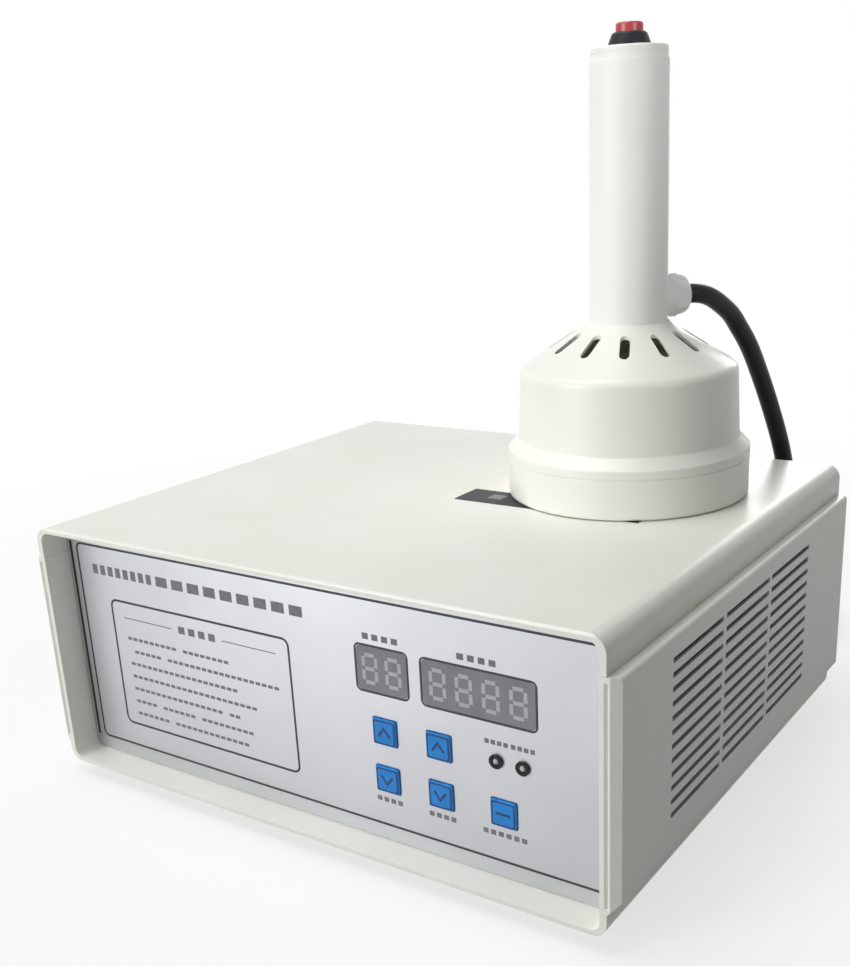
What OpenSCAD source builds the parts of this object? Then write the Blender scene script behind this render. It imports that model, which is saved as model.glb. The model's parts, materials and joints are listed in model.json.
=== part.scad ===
// Induction cap sealer: a bench power unit with a hand-held sealing head that rests on its top.
// Millimetres, +Z up, front towards -Y, origin on the table under the middle of the case.

/* [Case] */
// Overall width across the two side panels
case_w = 310; // [296:1:340]
// Depth of the covers from front edge to rear edge
case_d = 260; // [250:1:300]
// Height of the case above its feet
case_h = 122.5; // [118:0.5:140]
// Thickness of the top and bottom plates
plate_t = 2.4; // [2.2:0.1:3.4]
// Thickness of the covers' side walls
wall_t = 3; // [2.4:0.1:4]
// Outer radius along the covers' long edges
edge_r = 7; // [5:0.5:9]
// Rounding of the covers' front and rear edges
lip_r = 1.2; // [0.5:0.1:2]
// Height of the top cover's side wall
top_skirt = 15; // [12:0.5:18]
// Height of the bottom cover's side wall
bottom_skirt = 11; // [10:0.5:15]
// Radius of the posts that take the case screws
post_r = 5; // [4.5:0.1:7]
// Height of the lower posts above the underside
post_split = 40; // [30:1:60]
// Clearance between pieces that seat on each other
seat_gap = 0.1; // [0.05:0.01:0.2]

/* [Feet] */
// Height of the rubber feet
foot_h = 7.5; // [5:0.5:15]
// Diameter of a foot where it meets the case
foot_d = 24; // [16:0.5:30]
// Distance of the feet from the covers' sides
foot_inset_x = 32; // [28:1:45]
// Distance of the feet from the covers' ends
foot_inset_y = 30; // [20:1:45]

/* [Side panels] */
// How far a side panel stands out from the covers
side_proud = 5; // [3.5:0.5:8]
// Thickness of a side panel's skin and rims
side_t = 2.5; // [2:0.1:3]
// Thickness of a side panel's skin behind its louvres
louvre_t = 1.2; // [1:0.1:1.8]
// Length of the bevel at a side panel's front and rear ends
end_bevel = 2.5; // [1.5:0.5:6]
// Depth of the groove beside the rim of those ends
end_groove = 1.2; // [0.5:0.1:1.5]
// Height of the bevel along a side panel's lower edge
lower_bevel = 5.5; // [3:0.5:8]
// Rounding of a side panel's upper edge
ledge_r = 2; // [0.5:0.1:2.4]
// Length of one louvre slot
slot_len = 49.6; // [35:0.2:52]
// Height of one louvre slot
slot_h = 2.3; // [1.5:0.1:3.6]
// Spacing of the louvre rows
slot_pitch = 6; // [5:0.05:6.2]
// Number of louvre rows
slot_rows = 12; // [4:1:12]
// Number of louvre columns
slot_cols = 3; // [1:1:3]
// Gap between two columns of louvres
slot_gap = 3; // [2:0.25:8]
// Distance from the ledge down to the first row of louvres
slot_drop = 10; // [7:0.5:14]
// Distance of the louvres' middle behind the middle of the case
slot_shift = -7.3; // [-12:0.1:12]

/* [Front and rear panels] */
// Depth of the recess in front of each panel
panel_recess = 14; // [12.5:0.5:18]
// Thickness of the front and rear panels
panel_t = 2; // [1.6:0.1:3]
// Depth of the grooves in the covers that hold the panels
groove_depth = 1.2; // [0.8:0.1:1.6]
// Thickness of the printed film on the front panel
film_t = 0.4; // [0.2:0.05:0.6]
// Distance from the front panel back to the control board
board_gap = 9; // [8:0.1:12]
// Thickness of the circuit boards
board_t = 1.6; // [1:0.1:2.4]

/* [Front controls] */
// Distance of the time display and of its two keys from the right-hand end of the panel
time_inset = 106; // [103:0.5:109]
// Width of the time window
time_w = 25.6; // [20:0.2:28]
// Distance of the count display from the right-hand end of the panel
count_inset = 59.7; // [58:0.1:61]
// Width of the count window
count_w = 52.4; // [45:0.2:54]
// Height of both windows
window_h = 20; // [14:0.2:22]
// Corner radius of the windows
window_r = 2.5; // [0.5:0.1:4]
// Height of the displays above the panel's middle
display_z = 20.6; // [19:0.1:23]
// Distance of the count keys from the right-hand end of the panel
count_key_inset = 79; // [75:0.5:82]
// Distance of the reset key from the right-hand end of the panel
reset_inset = 49; // [43:0.5:54]
// Width and height of a key
key_w = 12; // [9:0.1:13]
// Bevel round a key's front face
key_bevel = 0.5; // [0.2:0.05:0.8]
// How far a key stands out of the film
key_proud = 1.2; // [0.8:0.1:2]
// Travel of a key
key_travel = 0.5; // [0.3:0.05:0.8]
// Upper row of keys, below the panel's middle
key_row_1 = 6.8; // [4:0.1:9]
// Lower row of keys, below the panel's middle
key_row_2 = 29; // [26:0.1:32]
// Distance of the first lamp from the right-hand end of the panel
lamp_inset = 51.8; // [47:0.1:57]
// Spacing of the two lamps
lamp_gap = 12.1; // [9:0.1:15]
// Outer diameter of a lamp's bezel
lamp_bezel_d = 6.2; // [5.8:0.1:8.5]
// Diameter of a lamp
lamp_d = 3; // [2.6:0.1:4]

/* [Rear panel fittings] */
// Sideways place of the fan
fan_x = -85; // [-92:1:-75]
// Width of the square fan frame
fan_size = 80; // [70:1:84]
// Depth of the fan frame
fan_t = 25; // [20:0.5:30]
// Number of fan blades
fan_blades = 7; // [5:1:9]
// Sideways place of the mains inlet
inlet_x = 75; // [70:1:80]
// Height of the inlet, switch and fuse above the panel's middle
mains_z = 16; // [5:0.5:25]
// Sideways place of the power switch
switch_x = 112; // [106:1:120]
// Sideways place of the fuse holder
fuse_x = 40; // [30:1:46]
// Sideways place of the head cable's gland
rear_gland_x = 20; // [10:1:28]
// Height of that gland below the panel's middle
rear_gland_drop = 18.75; // [10:0.25:35]

/* [Sealing head] */
// Sideways place of the head on the case
head_x = 72.7; // [-80:0.1:80]
// Place of the head behind the middle of the case
head_y = 45.7; // [-50:0.1:60]
// Diameter of the head's base ring
ring_d = 114; // [108:0.5:125]
// Diameter of the head's drum at its foot
drum_d = 104; // [94:0.2:105]
// How much the drum's radius narrows from its foot up to its shoulder
drum_draft = 1.4; // [0:0.1:2]
// Height of the base cup
cup_h = 18.3; // [16:0.1:20]
// Height of the shell's upright rim above the base cup
flange_h = 3.6; // [3:0.1:8]
// Height of the drum's shoulder above the base
shoulder_h = 59.5; // [45:0.5:66]
// Height of the cone's top above the base
neck_h = 80; // [74:0.5:95]
// Wall thickness of the shell and the cup
shell_t = 3; // [2:0.1:4]
// Thickness of the cone behind its vents
vent_skin = 1.4; // [1.2:0.1:2]
// Number of vent slots in the cone
vent_count = 12; // [6:1:14]
// Width of a vent slot
vent_w = 4.5; // [2.5:0.1:5.5]
// Inner end of a vent slot, measured from the axis
vent_in = 24; // [22.5:0.1:28]
// Outer end of a vent slot, measured from the axis
vent_out = 37; // [33:0.1:42]

/* [Handle] */
// Diameter of the handle at its foot
handle_d = 35.8; // [33:0.2:40]
// How much the handle's radius narrows up to its cap
handle_taper = 0.5; // [0:0.1:0.8]
// Wall thickness of the handle tube
handle_t = 2.5; // [2:0.1:3]
// Length of the handle tube
handle_len = 110.9; // [80:0.5:140]
// Height of the handle's end cap
cap_t = 5.6; // [4:0.1:8]
// Diameter of the trigger's bezel
bezel_d = 18.5; // [17:0.1:22]
// Height of the bezel above the cap
bezel_h = 5.6; // [4:0.1:8]
// Diameter of the trigger button
button_d = 12; // [9:0.1:12.4]
// How far the button stands out of its bezel
button_proud = 3.9; // [3.4:0.1:6]
// Travel of the trigger button
button_travel = 3; // [1.5:0.1:3.2]
// Height of the handle's gland above the cone's top
gland_up = 10; // [10:0.5:60]
// Direction of the handle's gland, turned from +X
gland_turn = 50; // [0:1:360]

/* [Cable glands] */
// Width across the flats of a gland's body
gland_flats = 17; // [15:0.1:18]
// Width across the flats of a gland's nut
gland_nut_flats = 15.6; // [14.8:0.1:17]
// Thickness of a gland's hexagon
gland_hex_t = 3.5; // [3:0.1:6]
// Length of a gland's nut
gland_nut_len = 5.2; // [4.8:0.1:9]

/* [Hidden] */
$fn = 64;

// Colours
ivory = "#F1F0E8";
silver = "#D5D7DE";
smoke = "#5E6068";
blue = "#2F86D0";
black = "#1A1B1E";
rubber_black = "#15171C";
red = "#B8424A";
nylon = "#D9DAD6";
steel = "#B4B6B8";
copper = "#B06A3A";
ferrite = "#3A3A3C";
board_green = "#2F6B45";
aluminium = "#B9BCC0";
brass = "#C2A65A";
phenolic = "#C9B48A";

// Main levels and planes of the case
half_w = case_w / 2;
half_d = case_d / 2;
cover_half_w = half_w - side_proud;
inner_half_w = cover_half_w - wall_t;
base_z = foot_h;
top_z = foot_h + case_h;
mid_z = foot_h + case_h / 2;
floor_z = base_z + plate_t;
ceiling_z = top_z - plate_t;
ledge_z = top_z - top_skirt;
sill_z = base_z + bottom_skirt;
panel_half_w = inner_half_w - seat_gap;
panel_low = floor_z - groove_depth + seat_gap;
panel_high = ceiling_z + groove_depth - seat_gap;
film_y = -half_d + panel_recess;
panel_y = film_y + film_t;
panel_back = panel_y + panel_t;
board_y = panel_back + board_gap;
rear_face = half_d - panel_recess;
rear_back = rear_face - panel_t;

// Case posts and their screws
post_inset_x = 16;
post_inset_y = 55;
post_x = inner_half_w - post_inset_x;
post_y = half_d - post_inset_y;
post_z = base_z + post_split;
screw_r = 1.95;
screw_play = 0.05;
screw_clear = 0.25;
screw_head_r = 3.6;
screw_head_t = 2.6;
screw_sink = 12;
screw_bite = 15;
foot_peg_r = foot_d / 8;

// Side panels
flange_t = 2;
flange_grip = 6;
flange_len = panel_recess + film_t + panel_t + flange_grip;
end_groove_w = 2;
end_groove_stop = 2.5;
end_land = 0.4;
end_bevel_x = inner_half_w + flange_t + end_groove_w + end_land;
slot_margin = 2;
slot_field = slot_cols * slot_len + (slot_cols - 1) * slot_gap;

// Front controls
time_x = inner_half_w - time_inset;
count_x = inner_half_w - count_inset;
count_key_x = inner_half_w - count_key_inset;
reset_x = inner_half_w - reset_inset;
lamp_x = inner_half_w - lamp_inset;
window_flange = 1.5;
window_flange_t = 1.2;
display_margin = 0.4;
key_play = 0.35;
key_r = 1.2;
key_flange = 1.5;
key_flange_t = 1.2;
key_stem_r = 1.75;
key_switch_w = 6;
key_switch_t = 4;
key_switch_play = 0.2;
key_enter = 0.5;
key_room = 0.5;
lamp_barrel_t = 0.8;
lamp_barrel_r = lamp_d / 2 + lamp_barrel_t;
lamp_proud = 1;
lamp_tail = 2;
lamp_rise = 0.4;
lamp_z = mid_z - key_row_1 + lamp_rise;
control_w = 106;
control_h = 82;
control_inset = 76;
control_x = inner_half_w - control_inset;
stud_x = 48;
stud_z = 36.5;
stud_r = 3;
board_screw_r = 1.4;
board_screw_hole = 1.5;
board_screw_head = 2.8;
board_screw_head_t = 1.8;
board_screw_bite = 5;

// Main board
main_w = 190;
main_l = 120;
main_x = -5;
main_y = -20;
main_boss_h = 8;
main_boss_r = 4;
main_hole_inset = 6;
main_z = floor_z + main_boss_h;
main_top = main_z + board_t;

// Pieces on the main board, placed from its middle
sink_w = 60;
sink_len = 100;
sink_x = -60;
sink_base_t = 5;
sink_fins = 9;
sink_fin_t = 2;
sink_fin_h = 34;
transistor_size = [5, 16, 24];
transistor_spread = 20;
can_r = 15;
can_h = 45;
can_bead = 1;
can_rim = 3;
can_x = 5;
can_spread = 24;
block_size = [18, 44, 32];
block_r = 1.5;
block_x = 37;
block_spread = 28;
choke_ring_r = 14;
choke_wire_r = 7;
choke_x = 71;
choke_y = -30;
core_size = [42, 20, 36];
winding_size = [28, 36, 24];
core_x = 71;
core_y = 24;

// Fan
fan_bore_r = fan_size / 2 - 2;
fan_hole_pitch = fan_size - 8.5;
fan_screw_r = 2.05;
fan_screw_head = 3.6;
fan_screw_head_t = 2.4;
fan_screw_bite = 12;
fan_hole_r = 2.15;
fan_frame_r = 4;
fan_hub_r = 17;
fan_strut_t = 4;
fan_strut_w = 4;
fan_shaft_r = 1.5;
fan_shaft_play = 0.05;
fan_tip_play = 1.5;
fan_wire_r = 0.9;
fan_eye_r = 4;
fan_eye_t = 2.6;
fan_front = rear_back - fan_t;

// Mains fittings
mains_row = mid_z + mains_z;
inlet_body = [27, 20];
inlet_flange = [31, 24];
inlet_flange_t = 3;
inlet_cavity = [24.4, 16.6];
inlet_depth = 15;
inlet_back_t = 2;
inlet_pin = [2, 3.6];
inlet_pin_len = 12;
inlet_pin_tail = 8;
inlet_pin_spread = 7;
inlet_pin_rise = 2;
inlet_pin_play = 0.1;
inlet_round = 2;
switch_body_size = [14, 19.6];
switch_flange = [16, 21.8];
switch_flange_t = 1.8;
switch_wall = 0.9;
switch_depth = 12;
switch_back_t = 2;
switch_round = 1.5;
rocker_r = 8.5;
rocker_play = 0.3;
rocker_tilt = 10;
rocker_axle_r = 1.2;
rocker_axle_play = 0.06;
rocker_y = rear_face + 0.5;
fuse_barrel_r = 6;
fuse_flange_r = 7.5;
fuse_flange_t = 3;
fuse_bore_r = 4.5;
fuse_depth = 26;
fuse_cap_r = 6;
fuse_cap_t = 7;
fuse_cap_plug = 10;
fuse_grips = 12;
fuse_grip_r = 0.9;
fuse_slot_w = 1.2;
rear_gland_z = mid_z - rear_gland_drop;

// Cable glands
cable_d = 9;
gland_thread_r = 6;
gland_bore_r = 4.7;
gland_tube_r = 6;
gland_tube_len = 2.5;
gland_play = 0.15;
gland_mouth_r = 6;
lock_nut_t = 4;

// Sealing head
strip_t = 0.3;
strip_x = [5.5, 102.2];
strip_y = [-5, 14.5];
head_z = top_z + strip_t;
ring_r = ring_d / 2;
drum_r = drum_d / 2;
drum_top_r = drum_r - drum_draft;
handle_r = handle_d / 2;
handle_top_r = handle_r - handle_taper;
neck_step = 0.6;
neck_r = handle_r + neck_step;
cone_slope = atan2(neck_h - shoulder_h, drum_top_r - neck_r);
cup_floor = 4;
cup_round = 1.5;
ring_h = cup_h + flange_h;
seam_v = 0.4;
skirt_depth = 4;
skirt_r = ring_r - shell_t - seat_gap;
ring_round = 1.2;
ring_fillet = 1.2;
shoulder_r = 5;
vent_phase = 23;
vent_margin = 2;
spigot_r = handle_r - handle_t - seat_gap;
spigot_h = 3;
spigot_t = 2.5;
head_screw_inset = 2.7;
head_screw_ring = drum_top_r - shell_t - head_screw_inset;
head_screw_count = 4;
head_screw_bite = 12;
head_screw_r = 1.5;
head_screw_head = 3;
head_screw_sink = 2.2;
head_boss_r = 4;
head_boss_top = 30;
former_r = head_screw_ring - head_boss_r - 1;
former_t = 2;
former_hub = 13;
coil_in = former_hub + 0.3;
coil_turns = 8;
coil_wire = (former_r - 1 - coil_in) / coil_turns;
coil_t = 4;
ferrite_count = 6;
ferrite_w = 8;
ferrite_t = 6;

// Handle and trigger
tube_z = head_z + neck_h;
tube_top = tube_z + handle_len;
cap_top = tube_top + cap_t;
cap_collar = 2.6;
cap_groove = 0.5;
cap_inset = 0.6;
cap_r = handle_top_r - cap_inset;
cap_plug = 6;
barrel_r = button_d / 2 + 1.2;
barrel_len = cap_t + cap_plug + 2;
button_play = 0.15;
button_skirt = 2;
button_stem_r = 1.8;
bezel_floor = 2;
switch_room = 1;
trigger_box = 13;
trigger_box_len = 16;
handle_gland_z = tube_z + gland_up;
boss_r = 9;
boss_proud = 2.6;
boss_reach = handle_r + boss_proud;

// Route of the head cable outside its coil
head_end_route = [
    [89.9, 66.2, 220.3], [94.6, 71.7, 220.3], [98.4, 81, 216], [102, 95, 208.5], [104, 103, 201.3],
    [106.5, 112.5, 190], [108.7, 124, 173.4], [111.5, 133, 156], [114.5, 139.5, 139], [116.3, 144, 125],
    [118, 149, 105], [119, 152, 85], [119.8, 154, 65], [120, 155, 48], [120, 158, 32], [120, 167, 18],
    [120, 180, 9], [120, 195, 6], [120, 210, 6]
];
case_end_route = [
    [20, 214, 28.5], [20, 204, 29], [20, 192, 32], [20, 181, 36.5], [20, 170, 42], [20, 158, 47],
    [20, 146, 49.6], [20, 134, 50], [20, 123, 50]
];
cable_sides = 10;
coil_centre = [70, 212];
coil_mid_r = 50;
coil_base = 1.5;
coil_layers = 3.5;
coil_top = coil_base + coil_layers * cable_d;
tie_t = 1;
tie_w = 8;
tie_play = 0.2;
tie_turn = 110;

// Points of an arc in a flat outline
function arc(centre, r, from, to, steps = 8) = [
    for (i = [0:steps])
        let (a = from + (to - from) * i / steps)
        centre + r * [cos(a), sin(a)]
];

// Unit vector along v
function unit(v) = v / norm(v);

// Direction of a route at its point i
function heading(path, i) = unit(path[min(i + 1, len(path) - 1)] - path[max(i - 1, 0)]);

// Ring of points round a route's point i
function ring_at(path, i, r, sides) =
    let (
        along = heading(path, i),
        across = unit(cross(along, [1, 0, 0])),
        over = cross(across, along)
    )
    [for (k = [0:sides - 1]) path[i] + r * (across * cos(360 * k / sides) + over * sin(360 * k / sides))];

// Rectangle with round corners, centred
module rounded_rect(w, h, r) {
    square([w - 2 * r, h], center = true);
    square([w, h - 2 * r], center = true);
    for (sx = [-1, 1], sy = [-1, 1])
        translate([sx * (w / 2 - r), sy * (h / 2 - r)]) circle(r);
}

// Slot with round ends from x = from to x = to
module round_slot(from, to, w) {
    translate([from + w / 2, -w / 2]) square([to - from - w, w]);
    for (x = [from + w / 2, to - w / 2])
        translate([x, 0]) circle(w / 2);
}

// Extrudes an outline drawn as (x, z) between two y planes
module along_y(from, to) {
    translate([0, to, 0]) rotate([90, 0, 0]) linear_extrude(to - from) children();
}

// Extrudes an outline drawn as (y, z) between two x planes
module along_x(from, to) {
    translate([from, 0, 0]) rotate([90, 0, 90]) linear_extrude(to - from) children();
}

// Places children at the four corners of a rectangle
module corners(x, y) {
    for (sx = [-1, 1], sy = [-1, 1])
        translate([sx * x, sy * y, 0]) children();
}

// Turns children so that their +Z points to the rear, at a place on the rear panel
module on_rear(x, z, y = rear_face) {
    translate([x, y, z]) rotate([-90, 0, 0]) children();
}

// Cross-section of the two covers as one rounded tube
module cover_section() {
    translate([0, mid_z]) difference() {
        rounded_rect(2 * cover_half_w, case_h, edge_r);
        rounded_rect(2 * inner_half_w, case_h - 2 * plate_t, edge_r - plate_t);
    }
}

// Side view of the top cover with its rounded front and rear edges
module cover_side(low) {
    translate([-half_d, low]) square([case_d, top_z - lip_r - low]);
    translate([-half_d + lip_r, low]) square([case_d - 2 * lip_r, top_z - low]);
    for (s = [-1, 1])
        translate([s * (half_d - lip_r), top_z - lip_r]) circle(lip_r);
}

// Grooves that hold the front and rear panels
module panel_grooves() {
    for (from = [panel_y - seat_gap, rear_back - seat_gap])
        along_y(from, from + panel_t + 2 * seat_gap)
            translate([-inner_half_w, panel_low - seat_gap])
                square([2 * inner_half_w, panel_high - panel_low + 2 * seat_gap]);
}

module top_cover() {
    color(ivory) difference() {
        union() {
            intersection() {
                along_y(-half_d, half_d) cover_section();
                along_x(-half_w, half_w) cover_side(ledge_z);
            }
            corners(post_x, post_y)
                translate([0, 0, post_z + seat_gap]) cylinder(r = post_r, h = ceiling_z - post_z);
        }
        panel_grooves();
        corners(post_x, post_y)
            translate([0, 0, post_z]) cylinder(r = screw_r + screw_play, h = screw_bite + 3);
    }
}

module bottom_cover() {
    color(ivory) difference() {
        union() {
            intersection() {
                along_y(-half_d, half_d) cover_section();
                translate([0, 0, 2 * mid_z]) mirror([0, 0, 1])
                    along_x(-half_w, half_w) cover_side(2 * mid_z - sill_z);
            }
            corners(post_x, post_y)
                translate([0, 0, base_z + 1]) cylinder(r = post_r, h = post_split - 1);
            translate([main_x, main_y, floor_z - 1])
                corners(main_w / 2 - main_hole_inset, main_l / 2 - main_hole_inset)
                    cylinder(r = main_boss_r, h = main_boss_h + 1);
        }
        panel_grooves();
        corners(post_x, post_y) {
            translate([0, 0, base_z - 1]) cylinder(r = screw_r + screw_clear, h = post_split + 2);
            translate([0, 0, base_z - 1]) cylinder(r = screw_head_r + screw_clear, h = screw_sink + 1);
        }
        translate([main_x, main_y, floor_z])
            corners(main_w / 2 - main_hole_inset, main_l / 2 - main_hole_inset)
                cylinder(r = board_screw_hole, h = main_boss_h + 1);
        corners(cover_half_w - foot_inset_x, half_d - foot_inset_y)
            translate([0, 0, base_z - 1]) cylinder(r = foot_peg_r + seat_gap, h = plate_t + 2);
    }
}

// Cross-section of a right-hand side panel
module side_section() {
    high = ledge_z - seat_gap;
    low = sill_z + seat_gap;
    polygon(concat(
        [[inner_half_w, high]],
        arc([half_w - ledge_r, high - ledge_r], ledge_r, 90, 0, 6),
        [[half_w, low + lower_bevel], [cover_half_w, low], [inner_half_w, low]]
    ));
}

// Hollow behind a side panel's skin, open towards the inside from x = from
module side_hollow(from) {
    high = ledge_z - seat_gap - side_t;
    low = sill_z + seat_gap + side_t;
    polygon([
        [from, high], [half_w - side_t, high], [half_w - side_t, low + lower_bevel - side_t / 2],
        [cover_half_w, low], [from, low]
    ]);
}

// Shallow V groove beside the rim at a side panel's front and rear ends
module end_grooves() {
    mid = inner_half_w + flange_t + end_groove_w / 2;
    translate([0, 0, sill_z + end_groove_stop])
        linear_extrude(ledge_z - sill_z - 2 * end_groove_stop)
            for (s = [-1, 1])
                polygon([
                    [mid, s * (half_d - end_groove)],
                    [mid + end_groove_w, s * (half_d + end_groove)],
                    [mid - end_groove_w, s * (half_d + end_groove)]
                ]);
}

// Rows of louvre slots, with the pocket that thins the skin behind them
module louvres() {
    first_y = slot_shift - slot_field / 2;
    first_z = ledge_z - slot_drop;
    field_h = (slot_rows - 1) * slot_pitch + slot_h;
    translate([
        half_w - side_t - 1,
        first_y - slot_margin,
        first_z + slot_h / 2 - field_h - slot_margin
    ])
        cube([side_t + 1 - louvre_t, slot_field + 2 * slot_margin, field_h + 2 * slot_margin]);
    for (col = [0:slot_cols - 1], row = [0:slot_rows - 1])
        translate([
            half_w - louvre_t - 0.5,
            first_y + col * (slot_len + slot_gap),
            first_z - row * slot_pitch - slot_h / 2
        ])
            cube([louvre_t + 1, slot_len, slot_h]);
}

module side_panel() {
    hollow_end = half_d - end_bevel - side_t;
    color(ivory) difference() {
        intersection() {
            along_y(-half_d, half_d) side_section();
            linear_extrude(top_z) polygon([
                [inner_half_w, -half_d], [end_bevel_x, -half_d], [half_w, -half_d + end_bevel],
                [half_w, half_d - end_bevel], [end_bevel_x, half_d], [inner_half_w, half_d]
            ]);
        }
        along_y(-hollow_end, hollow_end) side_hollow(inner_half_w + flange_t);
        along_y(-half_d + flange_len, half_d - flange_len) side_hollow(inner_half_w - 1);
        end_grooves();
        louvres();
    }
}

module right_side_panel() {
    side_panel();
}

module left_side_panel() {
    mirror([1, 0, 0]) side_panel();
}

// Outline of a panel that fits the covers' grooves
module panel_outline() {
    translate([-panel_half_w, panel_low]) square([2 * panel_half_w, panel_high - panel_low]);
}

// Places of the two windows, with their widths
module each_window() {
    translate([time_x, mid_z + display_z]) {
        $window_w = time_w;
        children();
    }
    translate([count_x, mid_z + display_z]) {
        $window_w = count_w;
        children();
    }
}

// Places of the five keys
key_places = [
    [time_x, mid_z - key_row_1], [time_x, mid_z - key_row_2],
    [count_key_x, mid_z - key_row_1], [count_key_x, mid_z - key_row_2],
    [reset_x, mid_z - key_row_2]
];

// Places of the two lamps
lamp_places = [[lamp_x, lamp_z], [lamp_x + lamp_gap, lamp_z]];

// Openings that the front panel and its film share
module front_openings() {
    each_window() rounded_rect($window_w, window_h, window_r);
    for (place = key_places)
        translate(place) rounded_rect(key_w + 2 * key_play, key_w + 2 * key_play, key_r);
    for (place = lamp_places)
        translate(place) circle(lamp_barrel_r + seat_gap);
}

module front_panel() {
    color(ivory) difference() {
        union() {
            along_y(panel_y, panel_back) panel_outline();
            along_y(panel_back - 0.5, board_y)
                translate([control_x, mid_z]) corners(stud_x, stud_z) circle(stud_r);
        }
        along_y(panel_y - 1, panel_back + 1) front_openings();
        along_y(panel_back, board_y + 1)
            translate([control_x, mid_z]) corners(stud_x, stud_z) circle(board_screw_hole);
    }
}

module front_film() {
    film_margin = 0.4;
    film_w = 2 * (inner_half_w - film_margin);
    film_h = case_h - 2 * (plate_t + film_margin);
    color(silver) along_y(film_y, panel_y) difference() {
        translate([0, mid_z]) rounded_rect(film_w, film_h, edge_r - plate_t);
        front_openings();
    }
}

module display_windows() {
    color(smoke) {
        along_y(film_y, panel_back)
            each_window() rounded_rect($window_w - 2 * seat_gap, window_h - 2 * seat_gap, window_r);
        along_y(panel_back, panel_back + window_flange_t)
            each_window()
                rounded_rect($window_w + 2 * window_flange, window_h + 2 * window_flange, window_r);
    }
}

// Seven-segment display block that fills the room between a window and the control board
module display_block(x, w) {
    color(black) along_y(panel_back + window_flange_t, board_y)
        translate([x, mid_z + display_z])
                square([w - 2 * display_margin, window_h - 2 * display_margin], center = true);
}

module time_display() {
    display_block(time_x, time_w);
}

module count_display() {
    display_block(count_x, count_w);
}

// Square key cap between two y planes, bevelled round its front face
module key_cap(front, back) {
    half = key_w / 2;
    shoulder = front + key_bevel;
    intersection() {
        along_y(front, back) rounded_rect(key_w, key_w, key_r);
        along_x(-half, half) polygon([
            [front, key_bevel - half], [shoulder, -half], [back, -half],
            [back, half], [shoulder, half], [front, half - key_bevel]
        ]);
        linear_extrude(key_w, center = true) polygon([
            [key_bevel - half, front], [half - key_bevel, front], [half, shoulder],
            [half, back], [-half, back], [-half, shoulder]
        ]);
    }
}

// Key with a flange behind the panel and a stem that works its switch
module key(place) {
    stem_end = board_y - key_switch_t + key_enter;
    flange_y = panel_back + seat_gap;
    flange_w = key_w + 2 * key_flange;
    color(blue) translate([place[0], 0, place[1]]) {
        key_cap(film_y - key_proud, flange_y + key_flange_t);
        along_y(flange_y, flange_y + key_flange_t) rounded_rect(flange_w, flange_w, key_r);
        along_y(flange_y, stem_end) circle(key_stem_r);
    }
}

module key_time_up() {
    key(key_places[0]);
}

module key_time_down() {
    key(key_places[1]);
}

module key_count_up() {
    key(key_places[2]);
}

module key_count_down() {
    key(key_places[3]);
}

module key_reset() {
    key(key_places[4]);
}

module key_switches() {
    color(black) for (place = key_places)
        difference() {
            along_y(board_y - key_switch_t, board_y)
                translate(place) square(key_switch_w, center = true);
            along_y(board_y - key_switch_t - 1, board_y - key_switch_t + key_enter + key_travel + key_room)
                translate(place) circle(key_stem_r + key_switch_play);
        }
}

module lamp_bezels() {
    color(black) for (place = lamp_places)
        difference() {
            union() {
                along_y(film_y - lamp_proud, film_y) translate(place) circle(lamp_bezel_d / 2);
                along_y(film_y - lamp_proud, panel_back + lamp_tail)
                    translate(place) circle(lamp_barrel_r);
            }
            along_y(film_y - 2 * lamp_proud, panel_back + lamp_tail + 1)
                translate(place) circle(lamp_d / 2 + seat_gap);
        }
}

module lamps() {
    color(nylon) for (place = lamp_places)
        translate([place[0], film_y, place[1]]) rotate([-90, 0, 0]) {
            cylinder(d = lamp_d, h = board_y - film_y);
            intersection() {
                sphere(d = lamp_d);
                translate([0, 0, -lamp_d]) cylinder(d = lamp_d, h = lamp_d + 0.5);
            }
        }
}

module control_board() {
    color(board_green) along_y(board_y, board_y + board_t)
        translate([control_x, mid_z]) difference() {
            square([control_w, control_h], center = true);
            corners(stud_x, stud_z) circle(board_screw_hole);
        }
}

// Small pan-head screw along +Z with its head above z = 0
module pan_screw(r, len, head_r, head_t) {
    translate([0, 0, -len]) cylinder(r = r, h = len + head_t / 2);
    cylinder(r = head_r, h = head_t);
}

module board_screws() {
    shank = board_t + board_screw_bite;
    color(steel) {
        translate([control_x, board_y + board_t, mid_z]) rotate([-90, 0, 0])
            corners(stud_x, stud_z)
                pan_screw(board_screw_r, shank, board_screw_head, board_screw_head_t);
        translate([main_x, main_y, main_top])
            corners(main_w / 2 - main_hole_inset, main_l / 2 - main_hole_inset)
                pan_screw(board_screw_r, shank, board_screw_head, board_screw_head_t);
    }
}

module case_screws() {
    head_z0 = base_z + screw_sink;
    color(steel) corners(post_x, post_y)
        translate([0, 0, head_z0]) mirror([0, 0, 1])
            pan_screw(screw_r, post_z + screw_bite - head_z0, screw_head_r, screw_head_t);
}

module feet() {
    color(rubber_black) corners(cover_half_w - foot_inset_x, half_d - foot_inset_y)
        rotate_extrude() polygon([
            [0, foot_h * 0.3], [foot_d * 0.22, foot_h * 0.3], [foot_d * 0.24, 0], [foot_d * 0.38, 0],
            [foot_d * 0.42, foot_h * 0.1], [foot_d / 2, foot_h], [foot_peg_r, foot_h],
            [foot_peg_r, foot_h + plate_t], [0, foot_h + plate_t]
        ]);
}

module top_strip() {
    color(black) translate([strip_x[0], strip_y[0], top_z])
        cube([strip_x[1] - strip_x[0], strip_y[1] - strip_y[0], strip_t]);
}

module main_board() {
    color(board_green) translate([main_x, main_y, main_z]) linear_extrude(board_t) difference() {
        square([main_w, main_l], center = true);
        corners(main_w / 2 - main_hole_inset, main_l / 2 - main_hole_inset) circle(board_screw_hole);
    }
}

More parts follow.
